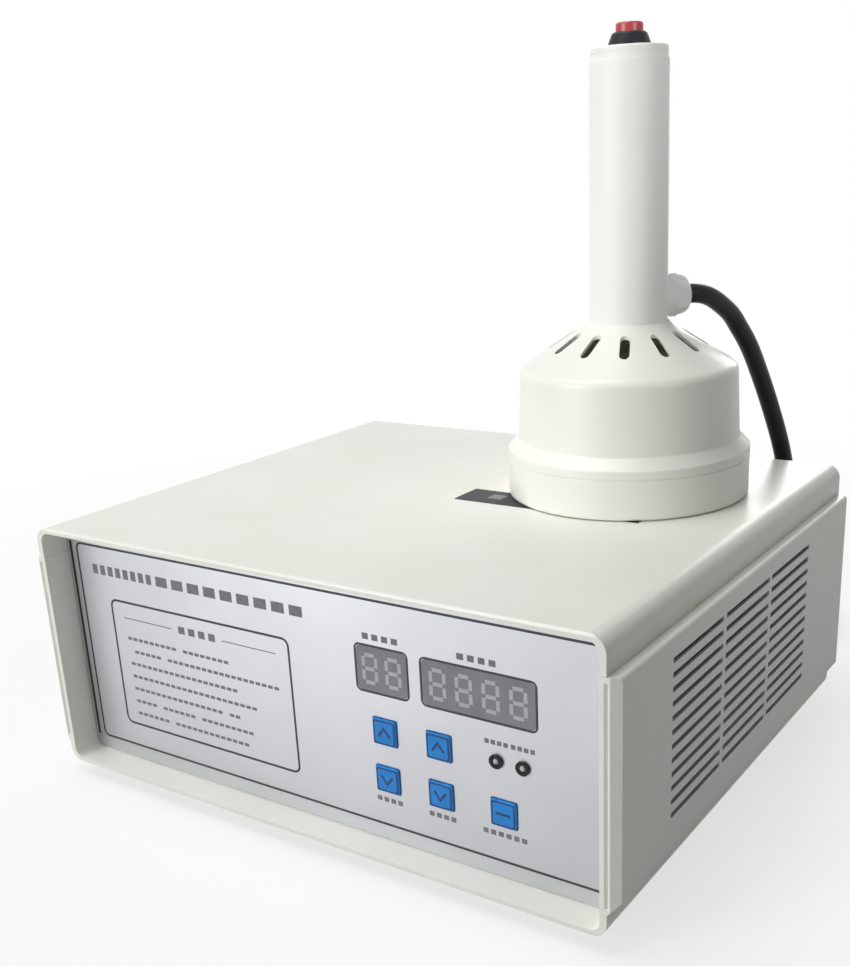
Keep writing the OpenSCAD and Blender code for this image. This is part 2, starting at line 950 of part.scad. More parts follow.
// Places children on the main board, at a place measured from its middle
module on_main_board(x, y) {
    translate([main_x + x, main_y + y, main_top]) children();
}

module heat_sink() {
    fin_pitch = (sink_w - sink_fin_t) / (sink_fins - 1);
    color(aluminium) on_main_board(sink_x, 0) along_y(-sink_len / 2, sink_len / 2) {
        translate([-sink_w / 2, 0]) square([sink_w, sink_base_t]);
        for (i = [0:sink_fins - 1])
            translate([i * fin_pitch - sink_w / 2, 0]) square([sink_fin_t, sink_base_t + sink_fin_h]);
    }
}

module power_transistors() {
    color(black) for (y = [-transistor_spread, transistor_spread])
        on_main_board(sink_x + sink_w / 2 + seat_gap, y - transistor_size[1] / 2) cube(transistor_size);
}

module filter_capacitors() {
    groove_z = 4 * can_bead;
    color(black) for (y = [-can_spread, can_spread])
        on_main_board(can_x, y) rotate_extrude() polygon([
            [0, 0], [can_r, 0], [can_r, groove_z], [can_r - can_bead, groove_z + can_bead],
            [can_r, groove_z + 2 * can_bead], [can_r, can_h - can_bead], [can_r - can_bead, can_h],
            [can_r - can_rim, can_h], [can_r - can_rim - can_bead, can_h - can_bead], [0, can_h - can_bead]
        ]);
}

module resonance_capacitors() {
    color(blue) for (y = [-block_spread, block_spread])
        on_main_board(block_x, y)
            linear_extrude(block_size[2]) rounded_rect(block_size[0], block_size[1], block_r);
}

module choke() {
    color(copper) on_main_board(choke_x, choke_y) translate([0, 0, choke_wire_r + seat_gap])
        rotate_extrude() translate([choke_ring_r, 0]) circle(choke_wire_r);
}

module transformer() {
    color(ferrite) on_main_board(core_x, core_y) {
        translate([0, 0, core_size[2] / 2]) cube(core_size, center = true);
        translate([0, 0, core_size[2] / 2]) cube(winding_size, center = true);
    }
}

module rear_panel() {
    color(ivory) difference() {
        along_y(rear_back, rear_face) panel_outline();
        along_y(rear_back - 1, rear_face + 1) {
            translate([fan_x, mid_z]) {
                circle(fan_bore_r);
                corners(fan_hole_pitch / 2, fan_hole_pitch / 2) circle(fan_hole_r);
            }
            translate([inlet_x, mains_row])
                square([inlet_body[0] + 2 * seat_gap, inlet_body[1] + 2 * seat_gap], center = true);
            translate([switch_x, mains_row])
                square([switch_body_size[0] + 2 * seat_gap, switch_body_size[1] + 2 * seat_gap],
                    center = true);
            translate([fuse_x, mains_row]) circle(fuse_barrel_r + seat_gap);
            translate([rear_gland_x, rear_gland_z]) circle(gland_thread_r + gland_play);
        }
    }
}

module fan_frame() {
    color(black) translate([fan_x, 0, mid_z]) difference() {
        union() {
            along_y(fan_front, rear_back) difference() {
                rounded_rect(fan_size, fan_size, fan_frame_r);
                circle(fan_bore_r);
            }
            along_y(fan_front, fan_front + fan_strut_t) {
                circle(fan_hub_r);
                intersection() {
                    circle(fan_bore_r + 1);
                    for (turn = [20, 110])
                        rotate(turn) square([fan_size, fan_strut_w], center = true);
                }
            }
        }
        along_y(fan_front - 1, rear_back + 1) {
            circle(fan_shaft_r + fan_shaft_play);
            corners(fan_hole_pitch / 2, fan_hole_pitch / 2) circle(fan_hole_r);
        }
    }
}

module fan_rotor() {
    hub_from = fan_strut_t + 0.6;
    hub_to = fan_t - 2;
    chord = 20;
    pitch = 38;
    blade_t = 1.6;
    tip_r = fan_bore_r - fan_tip_play;
    color(black) translate([fan_x, fan_front, mid_z]) rotate([-90, 0, 0]) {
        translate([0, 0, hub_from]) cylinder(r = fan_hub_r, h = hub_to - hub_from);
        translate([0, 0, 0.3]) cylinder(r = fan_shaft_r, h = hub_from);
        intersection() {
            for (i = [0:fan_blades - 1])
                rotate([0, 0, i * 360 / fan_blades])
                    translate([fan_hub_r - 1.5, 0, (hub_from + hub_to) / 2]) rotate([pitch, 0, 0])
                        translate([0, -chord / 2, -blade_t / 2]) cube([fan_bore_r, chord, blade_t]);
            translate([0, 0, hub_from]) cylinder(r = tip_r, h = hub_to - hub_from);
        }
    }
}

module fan_grille() {
    rings = [for (share = [0.3, 0.5, 0.7, 0.9]) share * fan_size / 2];
    weld_gap = 0.02;
    wire_y = fan_wire_r + 0.3;
    ring_y = wire_y + 2 * fan_wire_r + weld_gap;
    eye_at = fan_hole_pitch / 2 * sqrt(2);
    color(steel) on_rear(fan_x, mid_z) {
        for (r = rings)
            translate([0, 0, ring_y]) rotate_extrude() translate([r, 0])
                circle(fan_wire_r, $fn = 8);
        for (turn = [45:90:315])
            rotate([0, 0, turn]) {
                translate([rings[0] - 1, 0, wire_y]) rotate([0, 90, 0])
                    cylinder(r = fan_wire_r, h = eye_at - fan_eye_r - rings[0] + 2);
                translate([eye_at, 0, 0]) difference() {
                    cylinder(r = fan_eye_r, h = fan_eye_t);
                    translate([0, 0, -1]) cylinder(r = fan_hole_r, h = fan_eye_t + 2);
                }
            }
    }
}

module fan_screws() {
    color(steel) on_rear(fan_x, mid_z, rear_face + fan_eye_t)
        corners(fan_hole_pitch / 2, fan_hole_pitch / 2)
            pan_screw(fan_screw_r, fan_eye_t + panel_t + fan_screw_bite, fan_screw_head,
                fan_screw_head_t);
}

// Pin places of the mains inlet, as (sideways, up)
inlet_pin_places = [
    [-inlet_pin_spread, -inlet_pin_rise], [0, inlet_pin_rise], [inlet_pin_spread, -inlet_pin_rise]
];

module mains_inlet() {
    mouth = rear_face + inlet_flange_t;
    color(black) translate([inlet_x, 0, mains_row]) difference() {
        union() {
            along_y(rear_face, mouth) rounded_rect(inlet_flange[0], inlet_flange[1], inlet_round);
            along_y(mouth - inlet_depth - inlet_back_t, mouth) square(inlet_body, center = true);
        }
        along_y(mouth - inlet_depth, mouth + 1)
            rounded_rect(inlet_cavity[0], inlet_cavity[1], inlet_round);
        along_y(mouth - inlet_depth - inlet_back_t - 1, mouth)
            for (place = inlet_pin_places)
                translate(place)
                    square([inlet_pin[0] + inlet_pin_play, inlet_pin[1] + inlet_pin_play], center = true);
    }
}

module inlet_pins() {
    inner = rear_face + inlet_flange_t - inlet_depth;
    color(brass) translate([inlet_x, 0, mains_row])
        along_y(inner - inlet_back_t - inlet_pin_tail, inner + inlet_pin_len)
            for (place = inlet_pin_places)
                translate(place) square(inlet_pin, center = true);
}

module switch_body() {
    hollow = [switch_body_size[0] - 2 * switch_wall, switch_body_size[1] - 2 * switch_wall];
    color(black) translate([switch_x, 0, mains_row]) difference() {
        union() {
            along_y(rear_face, rear_face + switch_flange_t)
                rounded_rect(switch_flange[0], switch_flange[1], switch_round);
            along_y(rear_face - switch_depth - switch_back_t, rear_face + switch_flange_t)
                square(switch_body_size, center = true);
        }
        along_y(rear_face - switch_depth, rear_face + switch_flange_t + 1) square(hollow, center = true);
        translate([-switch_body_size[0], rocker_y, 0]) rotate([0, 90, 0])
            cylinder(r = rocker_axle_r + rocker_axle_play, h = 2 * switch_body_size[0]);
    }
}

// Rocker tipped to its off side: a drum about its axle with a shallow V cut into its outer face
module power_rocker() {
    half_width = switch_body_size[0] / 2 - switch_wall - rocker_play;
    dip = 2.4;
    tip = 5.6;
    color(black) translate([switch_x, rocker_y, mains_row]) rotate([rocker_tilt, 0, 0]) {
        along_x(-half_width, half_width) intersection() {
            circle(rocker_r);
            polygon([
                [dip, 0], [tip, rocker_r], [-rocker_r * 0.6, rocker_r], [-rocker_r * 0.6, -rocker_r],
                [tip, -rocker_r]
            ]);
        }
        translate([-switch_body_size[0] / 2 + 0.2, 0, 0]) rotate([0, 90, 0])
            cylinder(r = rocker_axle_r, h = switch_body_size[0] - 0.4);
    }
}

module fuse_holder() {
    color(black) on_rear(fuse_x, mains_row) difference() {
        union() {
            cylinder(r = fuse_flange_r, h = fuse_flange_t);
            translate([0, 0, -fuse_depth]) cylinder(r = fuse_barrel_r, h = fuse_depth + 1);
        }
        translate([0, 0, -fuse_depth + 2]) cylinder(r = fuse_bore_r, h = fuse_depth + fuse_flange_t);
    }
}

module fuse_cap() {
    grip_from = 1.5;
    grip_at = fuse_cap_r + fuse_grip_r / 2;
    color(black) on_rear(fuse_x, mains_row, rear_face + fuse_flange_t) difference() {
        union() {
            cylinder(r = fuse_cap_r, h = fuse_cap_t);
            translate([0, 0, -fuse_cap_plug]) cylinder(r = fuse_bore_r - seat_gap, h = fuse_cap_plug + 1);
        }
        for (i = [0:fuse_grips - 1])
            rotate([0, 0, i * 360 / fuse_grips]) translate([grip_at, 0, grip_from])
                cylinder(r = fuse_grip_r, h = fuse_cap_t);
        translate([-fuse_cap_r, -fuse_slot_w / 2, fuse_cap_t - fuse_slot_w])
            cube([2 * fuse_cap_r, fuse_slot_w, fuse_slot_w + 1]);
    }
}

// Gland body along +Z: thread below z = 0, hexagon above it, and a short tube inside the nut
module gland_body(thread) {
    difference() {
        union() {
            translate([0, 0, -thread]) cylinder(r = gland_thread_r, h = thread + 1);
            cylinder(d = gland_flats / cos(30), h = gland_hex_t, $fn = 6);
            cylinder(r = gland_tube_r, h = gland_hex_t + gland_tube_len);
        }
        translate([0, 0, -thread - 1])
            cylinder(r = gland_bore_r, h = thread + gland_hex_t + gland_tube_len + 2);
    }
}

// Gland nut: a hexagon whose outer end is turned to a dome
module gland_nut() {
    nut_r = gland_nut_flats / 2 / cos(30);
    translate([0, 0, gland_hex_t]) difference() {
        intersection() {
            cylinder(r = nut_r, h = gland_nut_len, $fn = 6);
            rotate_extrude() polygon([
                [0, 0], [nut_r, 0], [nut_r, gland_nut_len * 0.4], [nut_r - 0.8, gland_nut_len * 0.7],
                [gland_mouth_r, gland_nut_len], [0, gland_nut_len]
            ]);
        }
        translate([0, 0, -1]) cylinder(r = gland_bore_r, h = gland_nut_len + 2);
        translate([0, 0, -1]) cylinder(r = gland_tube_r + seat_gap, h = gland_tube_len + 1 + seat_gap);
    }
}

module rear_gland_body() {
    color(nylon) on_rear(rear_gland_x, rear_gland_z) gland_body(panel_t + lock_nut_t + 2);
}

module rear_gland_nut() {
    color(nylon) on_rear(rear_gland_x, rear_gland_z) gland_nut();
}

module rear_lock_nut() {
    color(nylon) on_rear(rear_gland_x, rear_gland_z, rear_back) difference() {
        translate([0, 0, -lock_nut_t]) cylinder(d = gland_flats / cos(30), h = lock_nut_t, $fn = 6);
        translate([0, 0, -lock_nut_t - 1]) cylinder(r = gland_thread_r + gland_play, h = lock_nut_t + 2);
    }
}

// Places children on the head's axis at its base
module on_head() {
    translate([head_x, head_y, head_z]) children();
}

// Places children round the head's axis at the cup's screws
module at_head_screws() {
    for (i = [0:head_screw_count - 1])
        rotate([0, 0, 45 + i * 360 / head_screw_count]) translate([head_screw_ring, 0, 0]) children();
}

module base_cup() {
    color(ivory) on_head() difference() {
        rotate_extrude() polygon(concat(
            [[0, 0]],
            arc([ring_r - cup_round, cup_round], cup_round, 270, 360, 6),
            [[ring_r, cup_h - seam_v], [ring_r - seam_v, cup_h], [ring_r - shell_t, cup_h]],
            [[ring_r - shell_t, cup_floor], [0, cup_floor]]
        ));
        at_head_screws() {
            translate([0, 0, -1]) cylinder(r = head_screw_r + screw_clear, h = cup_floor + 2);
            translate([0, 0, -1]) cylinder(r = head_screw_head + screw_clear, h = head_screw_sink + 1);
        }
    }
}

// Outside of the shell from its skirt up to the spigot: an upright rim, a slope at 45 degrees up to the
// drum, the drum with its draft, the rounded shoulder and the cone
function shell_outside() =
    let (
        bend = 90 - cone_slope,
        rounds = ring_round + ring_fillet,
        slope = ring_r - drum_r - rounds * (1 - cos(45)),
        drum_z = ring_h + slope + rounds * sin(45)
    )
    concat(
        [[skirt_r, cup_h - skirt_depth], [skirt_r, cup_h]],
        [[ring_r - seam_v, cup_h], [ring_r, cup_h + seam_v]],
        arc([ring_r - ring_round, ring_h], ring_round, 0, 45, 4),
        arc([drum_r + ring_fillet, drum_z], ring_fillet, 225, 180, 4),
        arc([drum_top_r - shoulder_r, shoulder_h - shoulder_r * tan(bend / 2)], shoulder_r, 0, bend, 6),
        [[neck_r, neck_h], [spigot_r, neck_h], [spigot_r, neck_h + spigot_h]]
    );

// Height of the cone's outer face at a distance from the axis
function cone_z(r) = neck_h - (r - neck_r) * tan(cone_slope);

// Inside of the shell from the spigot down to the skirt, thinned behind the vents
function shell_inside() =
    let (
        hole_r = spigot_r - spigot_t,
        wall_r = drum_top_r - shell_t,
        thin_from = vent_in - vent_margin,
        thin_to = min(vent_out + vent_margin, wall_r - 1),
        drop = shell_t / cos(cone_slope),
        thin_drop = vent_skin / cos(cone_slope)
    )
    [
        [hole_r, neck_h + spigot_h],
        [hole_r, cone_z(hole_r) - drop],
        [thin_from, cone_z(thin_from) - drop],
        [thin_from, cone_z(thin_from) - thin_drop],
        [thin_to, cone_z(thin_to) - thin_drop],
        [thin_to, cone_z(thin_to) - drop],
        [wall_r, cone_z(wall_r) - drop],
        [wall_r, cup_h - skirt_depth]
    ];

module head_shell() {
    color(ivory) on_head() difference() {
        union() {
            rotate_extrude() polygon(concat(shell_outside(), shell_inside()));
            at_head_screws()
                translate([0, 0, cup_floor + seat_gap])
                    cylinder(r = head_boss_r, h = head_boss_top - cup_floor);
        }
        at_head_screws()
            translate([0, 0, cup_floor]) cylinder(r = head_screw_r + screw_play, h = head_screw_bite + 4);
        for (i = [0:vent_count - 1])
            rotate([0, 0, vent_phase + i * 360 / vent_count]) translate([0, 0, shoulder_h - 5])
                linear_extrude(neck_h) round_slot(vent_in, vent_out, vent_w);
    }
}

module head_screws() {
    color(steel) on_head() at_head_screws()
        translate([0, 0, head_screw_sink]) mirror([0, 0, 1])
            pan_screw(head_screw_r, cup_floor - head_screw_sink + head_screw_bite, head_screw_head,
                head_screw_sink - screw_clear);
}

module coil_former() {
    hub_h = former_t + coil_t + 1;
    color(phenolic) on_head() translate([0, 0, cup_floor]) difference() {
        union() {
            cylinder(r = former_r, h = former_t);
            cylinder(r = former_hub, h = hub_h);
        }
        translate([0, 0, -1]) cylinder(r = former_hub - 4, h = hub_h + 2);
    }
}

// Flat spiral coil drawn as a ring whose faces show its turns
module sealing_coil() {
    color(copper) on_head() translate([0, 0, cup_floor + former_t]) rotate_extrude()
        for (i = [0:coil_turns - 1])
            translate([coil_in + i * coil_wire, 0]) {
                square([coil_wire - 0.5, coil_t]);
                translate([0, coil_t * 0.25]) square([coil_wire, coil_t * 0.5]);
            }
}

module ferrite_bars() {
    from = former_hub + 1;
    color(ferrite) on_head() for (i = [0:ferrite_count - 1])
        rotate([0, 0, i * 360 / ferrite_count])
            translate([from, -ferrite_w / 2, cup_floor + former_t + coil_t])
                cube([former_r - from, ferrite_w, ferrite_t]);
}

// Places children on the handle's gland seat with +Z pointing away from the handle
module on_gland_seat(reach) {
    translate([head_x, head_y, handle_gland_z]) rotate([0, 0, gland_turn]) rotate([0, 90, 0])
        translate([0, 0, reach]) children();
}

module handle_tube() {
    color(ivory) difference() {
        union() {
            translate([head_x, head_y, tube_z])
                cylinder(r1 = handle_r, r2 = handle_top_r, h = handle_len);
            on_gland_seat(0) cylinder(r = boss_r, h = boss_reach);
        }
        translate([head_x, head_y, tube_z - 1]) cylinder(r = handle_r - handle_t, h = handle_len + 2);
        on_gland_seat(0) cylinder(r = gland_thread_r + gland_play, h = boss_reach + 1);
    }
}

module handle_cap() {
    foot_break = 0.3;
    top_round = 0.8;
    groove = 0.5;
    color(ivory) translate([head_x, head_y, tube_top]) difference() {
        rotate_extrude() polygon(concat(
            [[0, -cap_plug], [spigot_r, -cap_plug], [spigot_r, 0]],
            [[cap_r - foot_break, 0], [cap_r, foot_break]],
            [[cap_r, cap_collar], [cap_r - groove, cap_collar]],
            [[cap_r - groove, cap_collar + cap_groove], [cap_r, cap_collar + cap_groove]],
            arc([cap_r - top_round, cap_t - top_round], top_round, 0, 90, 5),
            [[0, cap_t]]
        ));
        translate([0, 0, -cap_plug - 1]) cylinder(r = barrel_r + seat_gap, h = cap_t + cap_plug + 2);
    }
}

// Places children on the trigger's axis at the cap's top
module on_cap() {
    translate([head_x, head_y, cap_top]) children();
}

module trigger_bezel() {
    bezel_r = bezel_d / 2;
    mouth_r = button_d / 2 + button_play;
    rim = 0.8;
    color(black) on_cap() rotate_extrude() polygon([
        [bezel_r, 0], [bezel_r, bezel_h * 0.2], [bezel_r - 0.6, bezel_h * 0.5],
        [mouth_r + rim + 0.8, bezel_h * 0.88], [mouth_r + rim, bezel_h], [mouth_r, bezel_h],
        [mouth_r, -barrel_len + bezel_floor], [button_stem_r + button_play, -barrel_len + bezel_floor],
        [button_stem_r + button_play, -barrel_len], [barrel_r, -barrel_len], [barrel_r, 0]
    ]);
}

module trigger_button() {
    top = bezel_h + button_proud;
    edge = 1;
    button_r = button_d / 2;
    color(red) on_cap() rotate_extrude() polygon(concat(
        [[0, -barrel_len - 0.5], [button_stem_r, -barrel_len - 0.5], [button_stem_r, -button_skirt]],
        [[button_r, -button_skirt]],
        arc([button_r - edge, top - edge], edge, 0, 90, 5),
        [[0, top]]
    ));
}

module trigger_switch() {
    color(black) on_cap() translate([0, 0, -barrel_len - trigger_box_len]) difference() {
        translate([-trigger_box / 2, -trigger_box / 2, 0])
            cube([trigger_box, trigger_box, trigger_box_len]);
        translate([0, 0, trigger_box_len - button_travel - 0.5 - switch_room])
            cylinder(r = button_stem_r + button_play, h = trigger_box_len);
    }
}

module handle_gland_body() {
    color(nylon) on_gland_seat(boss_reach) gland_body(boss_reach - handle_r + handle_t);
}

module handle_gland_nut() {
    color(nylon) on_gland_seat(boss_reach) gland_nut();
}

// Round cable swept along a route
module cable(path) {
    last = len(path) - 1;
    points = [for (i = [0:last]) each ring_at(path, i, cable_d / 2, cable_sides)];
    sides = [
        for (i = [0:last - 1], k = [0:cable_sides - 1])
            let (a = i * cable_sides + k, b = i * cable_sides + (k + 1) % cable_sides)
            [a, b, b + cable_sides, a + cable_sides]
    ];
    start = [for (k = [cable_sides - 1:-1:0]) k];
    end = [for (k = [0:cable_sides - 1]) last * cable_sides + k];
    color(rubber_black) polyhedron(points, concat([start], sides, [end]));
}

module cable_head_end() {
    cable(head_end_route);
}

module cable_case_end() {
    cable(case_end_route);
}

module cable_coil() {
    color(rubber_black) translate([coil_centre[0], coil_centre[1], 0])
        rotate_extrude() translate([coil_mid_r, (coil_base + coil_top) / 2])
            rounded_rect(cable_d, coil_top - coil_base, cable_d / 2 - 0.1);
}

module cable_tie() {
    inner = [cable_d + 2 * tie_play, coil_top - coil_base + 2 * tie_play];
    mid = (coil_base + coil_top) / 2;
    color(black) translate([coil_centre[0], coil_centre[1], mid]) rotate([0, 0, tie_turn])
        along_y(-tie_w / 2, tie_w / 2) translate([coil_mid_r, 0]) difference() {
            square([inner[0] + 2 * tie_t, inner[1] + 2 * tie_t], center = true);
            square(inner, center = true);
        }
}

top_cover();
bottom_cover();
left_side_panel();
right_side_panel();
front_panel();
front_film();
rear_panel();
feet();
case_screws();
top_strip();
display_windows();
time_display();
count_display();
key_time_up();
key_time_down();
key_count_up();
key_count_down();
key_reset();
lamp_bezels();
lamps();
control_board();
key_switches();
board_screws();
main_board();
heat_sink();
power_transistors();
filter_capacitors();
resonance_capacitors();
choke();
transformer();
fan_frame();
fan_rotor();
fan_grille();
fan_screws();
mains_inlet();
inlet_pins();
switch_body();
power_rocker();
fuse_holder();
fuse_cap();
rear_gland_body();
rear_gland_nut();
rear_lock_nut();
base_cup();
head_shell();
coil_former();
sealing_coil();
ferrite_bars();
head_screws();
handle_tube();
handle_cap();
trigger_bezel();
trigger_button();
trigger_switch();
handle_gland_body();
handle_gland_nut();
cable_head_end();
cable_coil();
cable_case_end();
cable_tie();
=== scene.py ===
"""Looks of the induction cap sealer: finishes, front print, digits, wire guard, cable and studio."""

import json
import math

import bmesh
import bpy
from mathutils import Matrix, Vector


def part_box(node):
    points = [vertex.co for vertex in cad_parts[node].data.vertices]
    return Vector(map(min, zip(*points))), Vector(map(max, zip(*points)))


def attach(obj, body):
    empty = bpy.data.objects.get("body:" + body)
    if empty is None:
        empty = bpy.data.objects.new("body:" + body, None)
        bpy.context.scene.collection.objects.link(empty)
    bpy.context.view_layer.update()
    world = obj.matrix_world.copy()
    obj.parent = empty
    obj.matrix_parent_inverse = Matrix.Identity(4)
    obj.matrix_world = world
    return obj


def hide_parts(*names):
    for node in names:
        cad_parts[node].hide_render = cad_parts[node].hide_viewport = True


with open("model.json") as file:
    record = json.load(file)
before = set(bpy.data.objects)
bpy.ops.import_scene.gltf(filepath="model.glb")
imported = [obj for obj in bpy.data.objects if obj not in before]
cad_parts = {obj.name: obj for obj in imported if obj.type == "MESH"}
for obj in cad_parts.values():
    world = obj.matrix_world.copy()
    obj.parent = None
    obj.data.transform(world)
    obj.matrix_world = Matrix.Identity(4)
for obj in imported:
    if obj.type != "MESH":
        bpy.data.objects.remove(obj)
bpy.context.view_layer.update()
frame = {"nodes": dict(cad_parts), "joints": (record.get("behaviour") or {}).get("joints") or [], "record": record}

MM = 0.001
CASE = "case"

# Camera fitted to the case's edges, for a picture of 850 by 966 pixels
PICTURE_W = 850
PICTURE_H = 966
SENSOR_MM = 36
FOCAL_PX = 1210.5
OPTICAL_AXIS_PX = (440.7, 589.4)
CAMERA_MM = (323.3, -473.0, 286.0)
CAMERA_AZIMUTH = 35.079
CAMERA_ELEVATION = 19.660
CAMERA_ROLL = -2.872

# Head cable: the points of its two free ends, in millimetres, and its tied coil
CABLE_D = 9
HEAD_END = [
    (89.9, 66.2, 220.3), (94.6, 71.7, 220.3), (98.4, 81, 217.6), (102, 95, 209.2), (104, 103, 201.3),
    (106.5, 112.5, 190), (108.7, 124, 173.4), (111.5, 133, 156), (114.5, 139.5, 139), (116.3, 144, 125),
    (118, 149, 105), (119, 152, 85), (119.8, 154, 65), (120, 155, 48), (120, 158, 32), (120, 167, 18),
    (120, 180, 9), (120, 195, 6),
]
CASE_END = [
    (20, 204, 29), (20, 192, 32), (20, 181, 36.5), (20, 170, 42), (20, 158, 47), (20, 146, 49.6),
    (20, 134, 50), (20, 123, 50),
]
COIL_CENTRE = (70, 212)
COIL_R = 50
COIL_FIRST_Z = 6
COIL_TURNS = 2.5
COIL_STEPS = 24
ROUTE_STEPS = 4
TIE_TURN = 110

# Thickness of printed ink, drawn thicker than real ink so that it doesn't flicker
INK_T = 0.06


def linear(hex_code):
    """Turns an sRGB hex value into a linear colour."""
    parts = [int(hex_code[i:i + 2], 16) / 255 for i in (1, 3, 5)]
    return (*[c / 12.92 if c <= 0.04045 else ((c + 0.055) / 1.055) ** 2.4 for c in parts], 1)


# Kinds of node that come up often
MATH = "ShaderNodeMath"
XYZ = "ShaderNodeCombineXYZ"


def add(tree, kind, links=None, **settings):
    """Adds a node with its settings, and links or sets its inputs. A node as source gives output 0."""
    node = tree.nodes.new(kind)
    for name, value in settings.items():
        setattr(node, name, value)
    for socket, source in (links or {}).items():
        if isinstance(source, bpy.types.Node):
            source = source.outputs[0]
        if isinstance(source, bpy.types.NodeSocket):
            tree.links.new(source, node.inputs[socket])
        else:
            node.inputs[socket].default_value = source
    return node


def start_finish(name):
    """Starts a material, and returns it with its tree and the object's coordinates."""
    material = bpy.data.materials.new(name)
    material.use_nodes = True
    tree = material.node_tree
    tree.nodes.clear()
    return material, tree, add(tree, "ShaderNodeTexCoord").outputs["Object"]


def surface(tree, place, tints, patch_mm, grain_mm, relief_mm, roughness, **constants):
    """Shader with slow patches between two close tints, and a grain in its relief and its gloss."""
    darker_to, lighter_from, relief_strength = 0.3, 0.7, 0.5
    patches = add(tree, "ShaderNodeTexNoise", {"Vector": place, "Scale": 1 / (patch_mm * MM), "Detail": 3})
    tint = add(tree, "ShaderNodeValToRGB", {"Fac": patches.outputs["Fac"]})
    for stop, position, colour in zip(tint.color_ramp.elements, (darker_to, lighter_from), tints):
        stop.position = position
        stop.color = linear(colour)
    grains = add(tree, "ShaderNodeTexNoise", {"Vector": place, "Scale": 1 / (grain_mm * MM), "Detail": 2})
    gloss = add(tree, "ShaderNodeMapRange", {
        "Value": grains.outputs["Fac"], "To Min": roughness[0], "To Max": roughness[1],
    })
    relief = add(tree, "ShaderNodeBump", {
        "Height": grains.outputs["Fac"], "Distance": relief_mm * MM, "Strength": relief_strength,
    })
    named = {socket.replace("_", " "): value for socket, value in constants.items()}
    return add(tree, "ShaderNodeBsdfPrincipled", {
        "Base Color": tint, "Roughness": gloss, "Normal": relief, **named,
    })


def finish(name, tints, **looks):
    """Material with one plain surface."""
    material, tree, place = start_finish(name)
    add(tree, "ShaderNodeOutputMaterial", {"Surface": surface(tree, place, tints, **looks)})
    return material


def silver_film():
    """Polyester film printed silver on its back: a soft metallic sheen, with a painted highlight at its top middle
    that fades to painted shade away from it.
    """
    # Painted highlight and shade: the silver darkens with distance from a pale spot near the film's top middle,
    # and the fall-off is wider than it is tall
    highlight_centre_mm, highlight_reach_mm, painted_far_darkening, wide = (3, -116, 112), 120, 0.62, (0.6, 1, 1)
    material, tree, place = start_finish("printed_polyester_silver_painted_light")
    shader = surface(
        tree, place, ("#E9EAEF", "#EFF0F5"), patch_mm=45, grain_mm=0.4, relief_mm=0.008,
        roughness=(0.28, 0.4), Metallic=0.6, IOR=1.57,
    )
    silver = shader.inputs["Base Color"].links[0].from_socket
    squeezed = add(tree, "ShaderNodeVectorMath", {0: place, 1: wide}, operation="MULTIPLY")
    away = add(tree, "ShaderNodeVectorMath", {
        0: squeezed, 1: Vector(highlight_centre_mm) * MM,
    }, operation="DISTANCE").outputs["Value"]
    painted_light_grade = add(tree, "ShaderNodeMapRange", {
        "Value": away, "From Min": 0.0, "From Max": highlight_reach_mm * MM, "To Min": 1.0, "To Max": painted_far_darkening,
    })
    # The painted light grade darkens the printed silver
    painted_silver = add(tree, "ShaderNodeVectorMath", {0: silver, 1: painted_light_grade}, operation="MULTIPLY")
    tree.links.new(painted_silver.outputs["Vector"], shader.inputs["Base Color"])
    add(tree, "ShaderNodeOutputMaterial", {"Surface": shader})
    return material


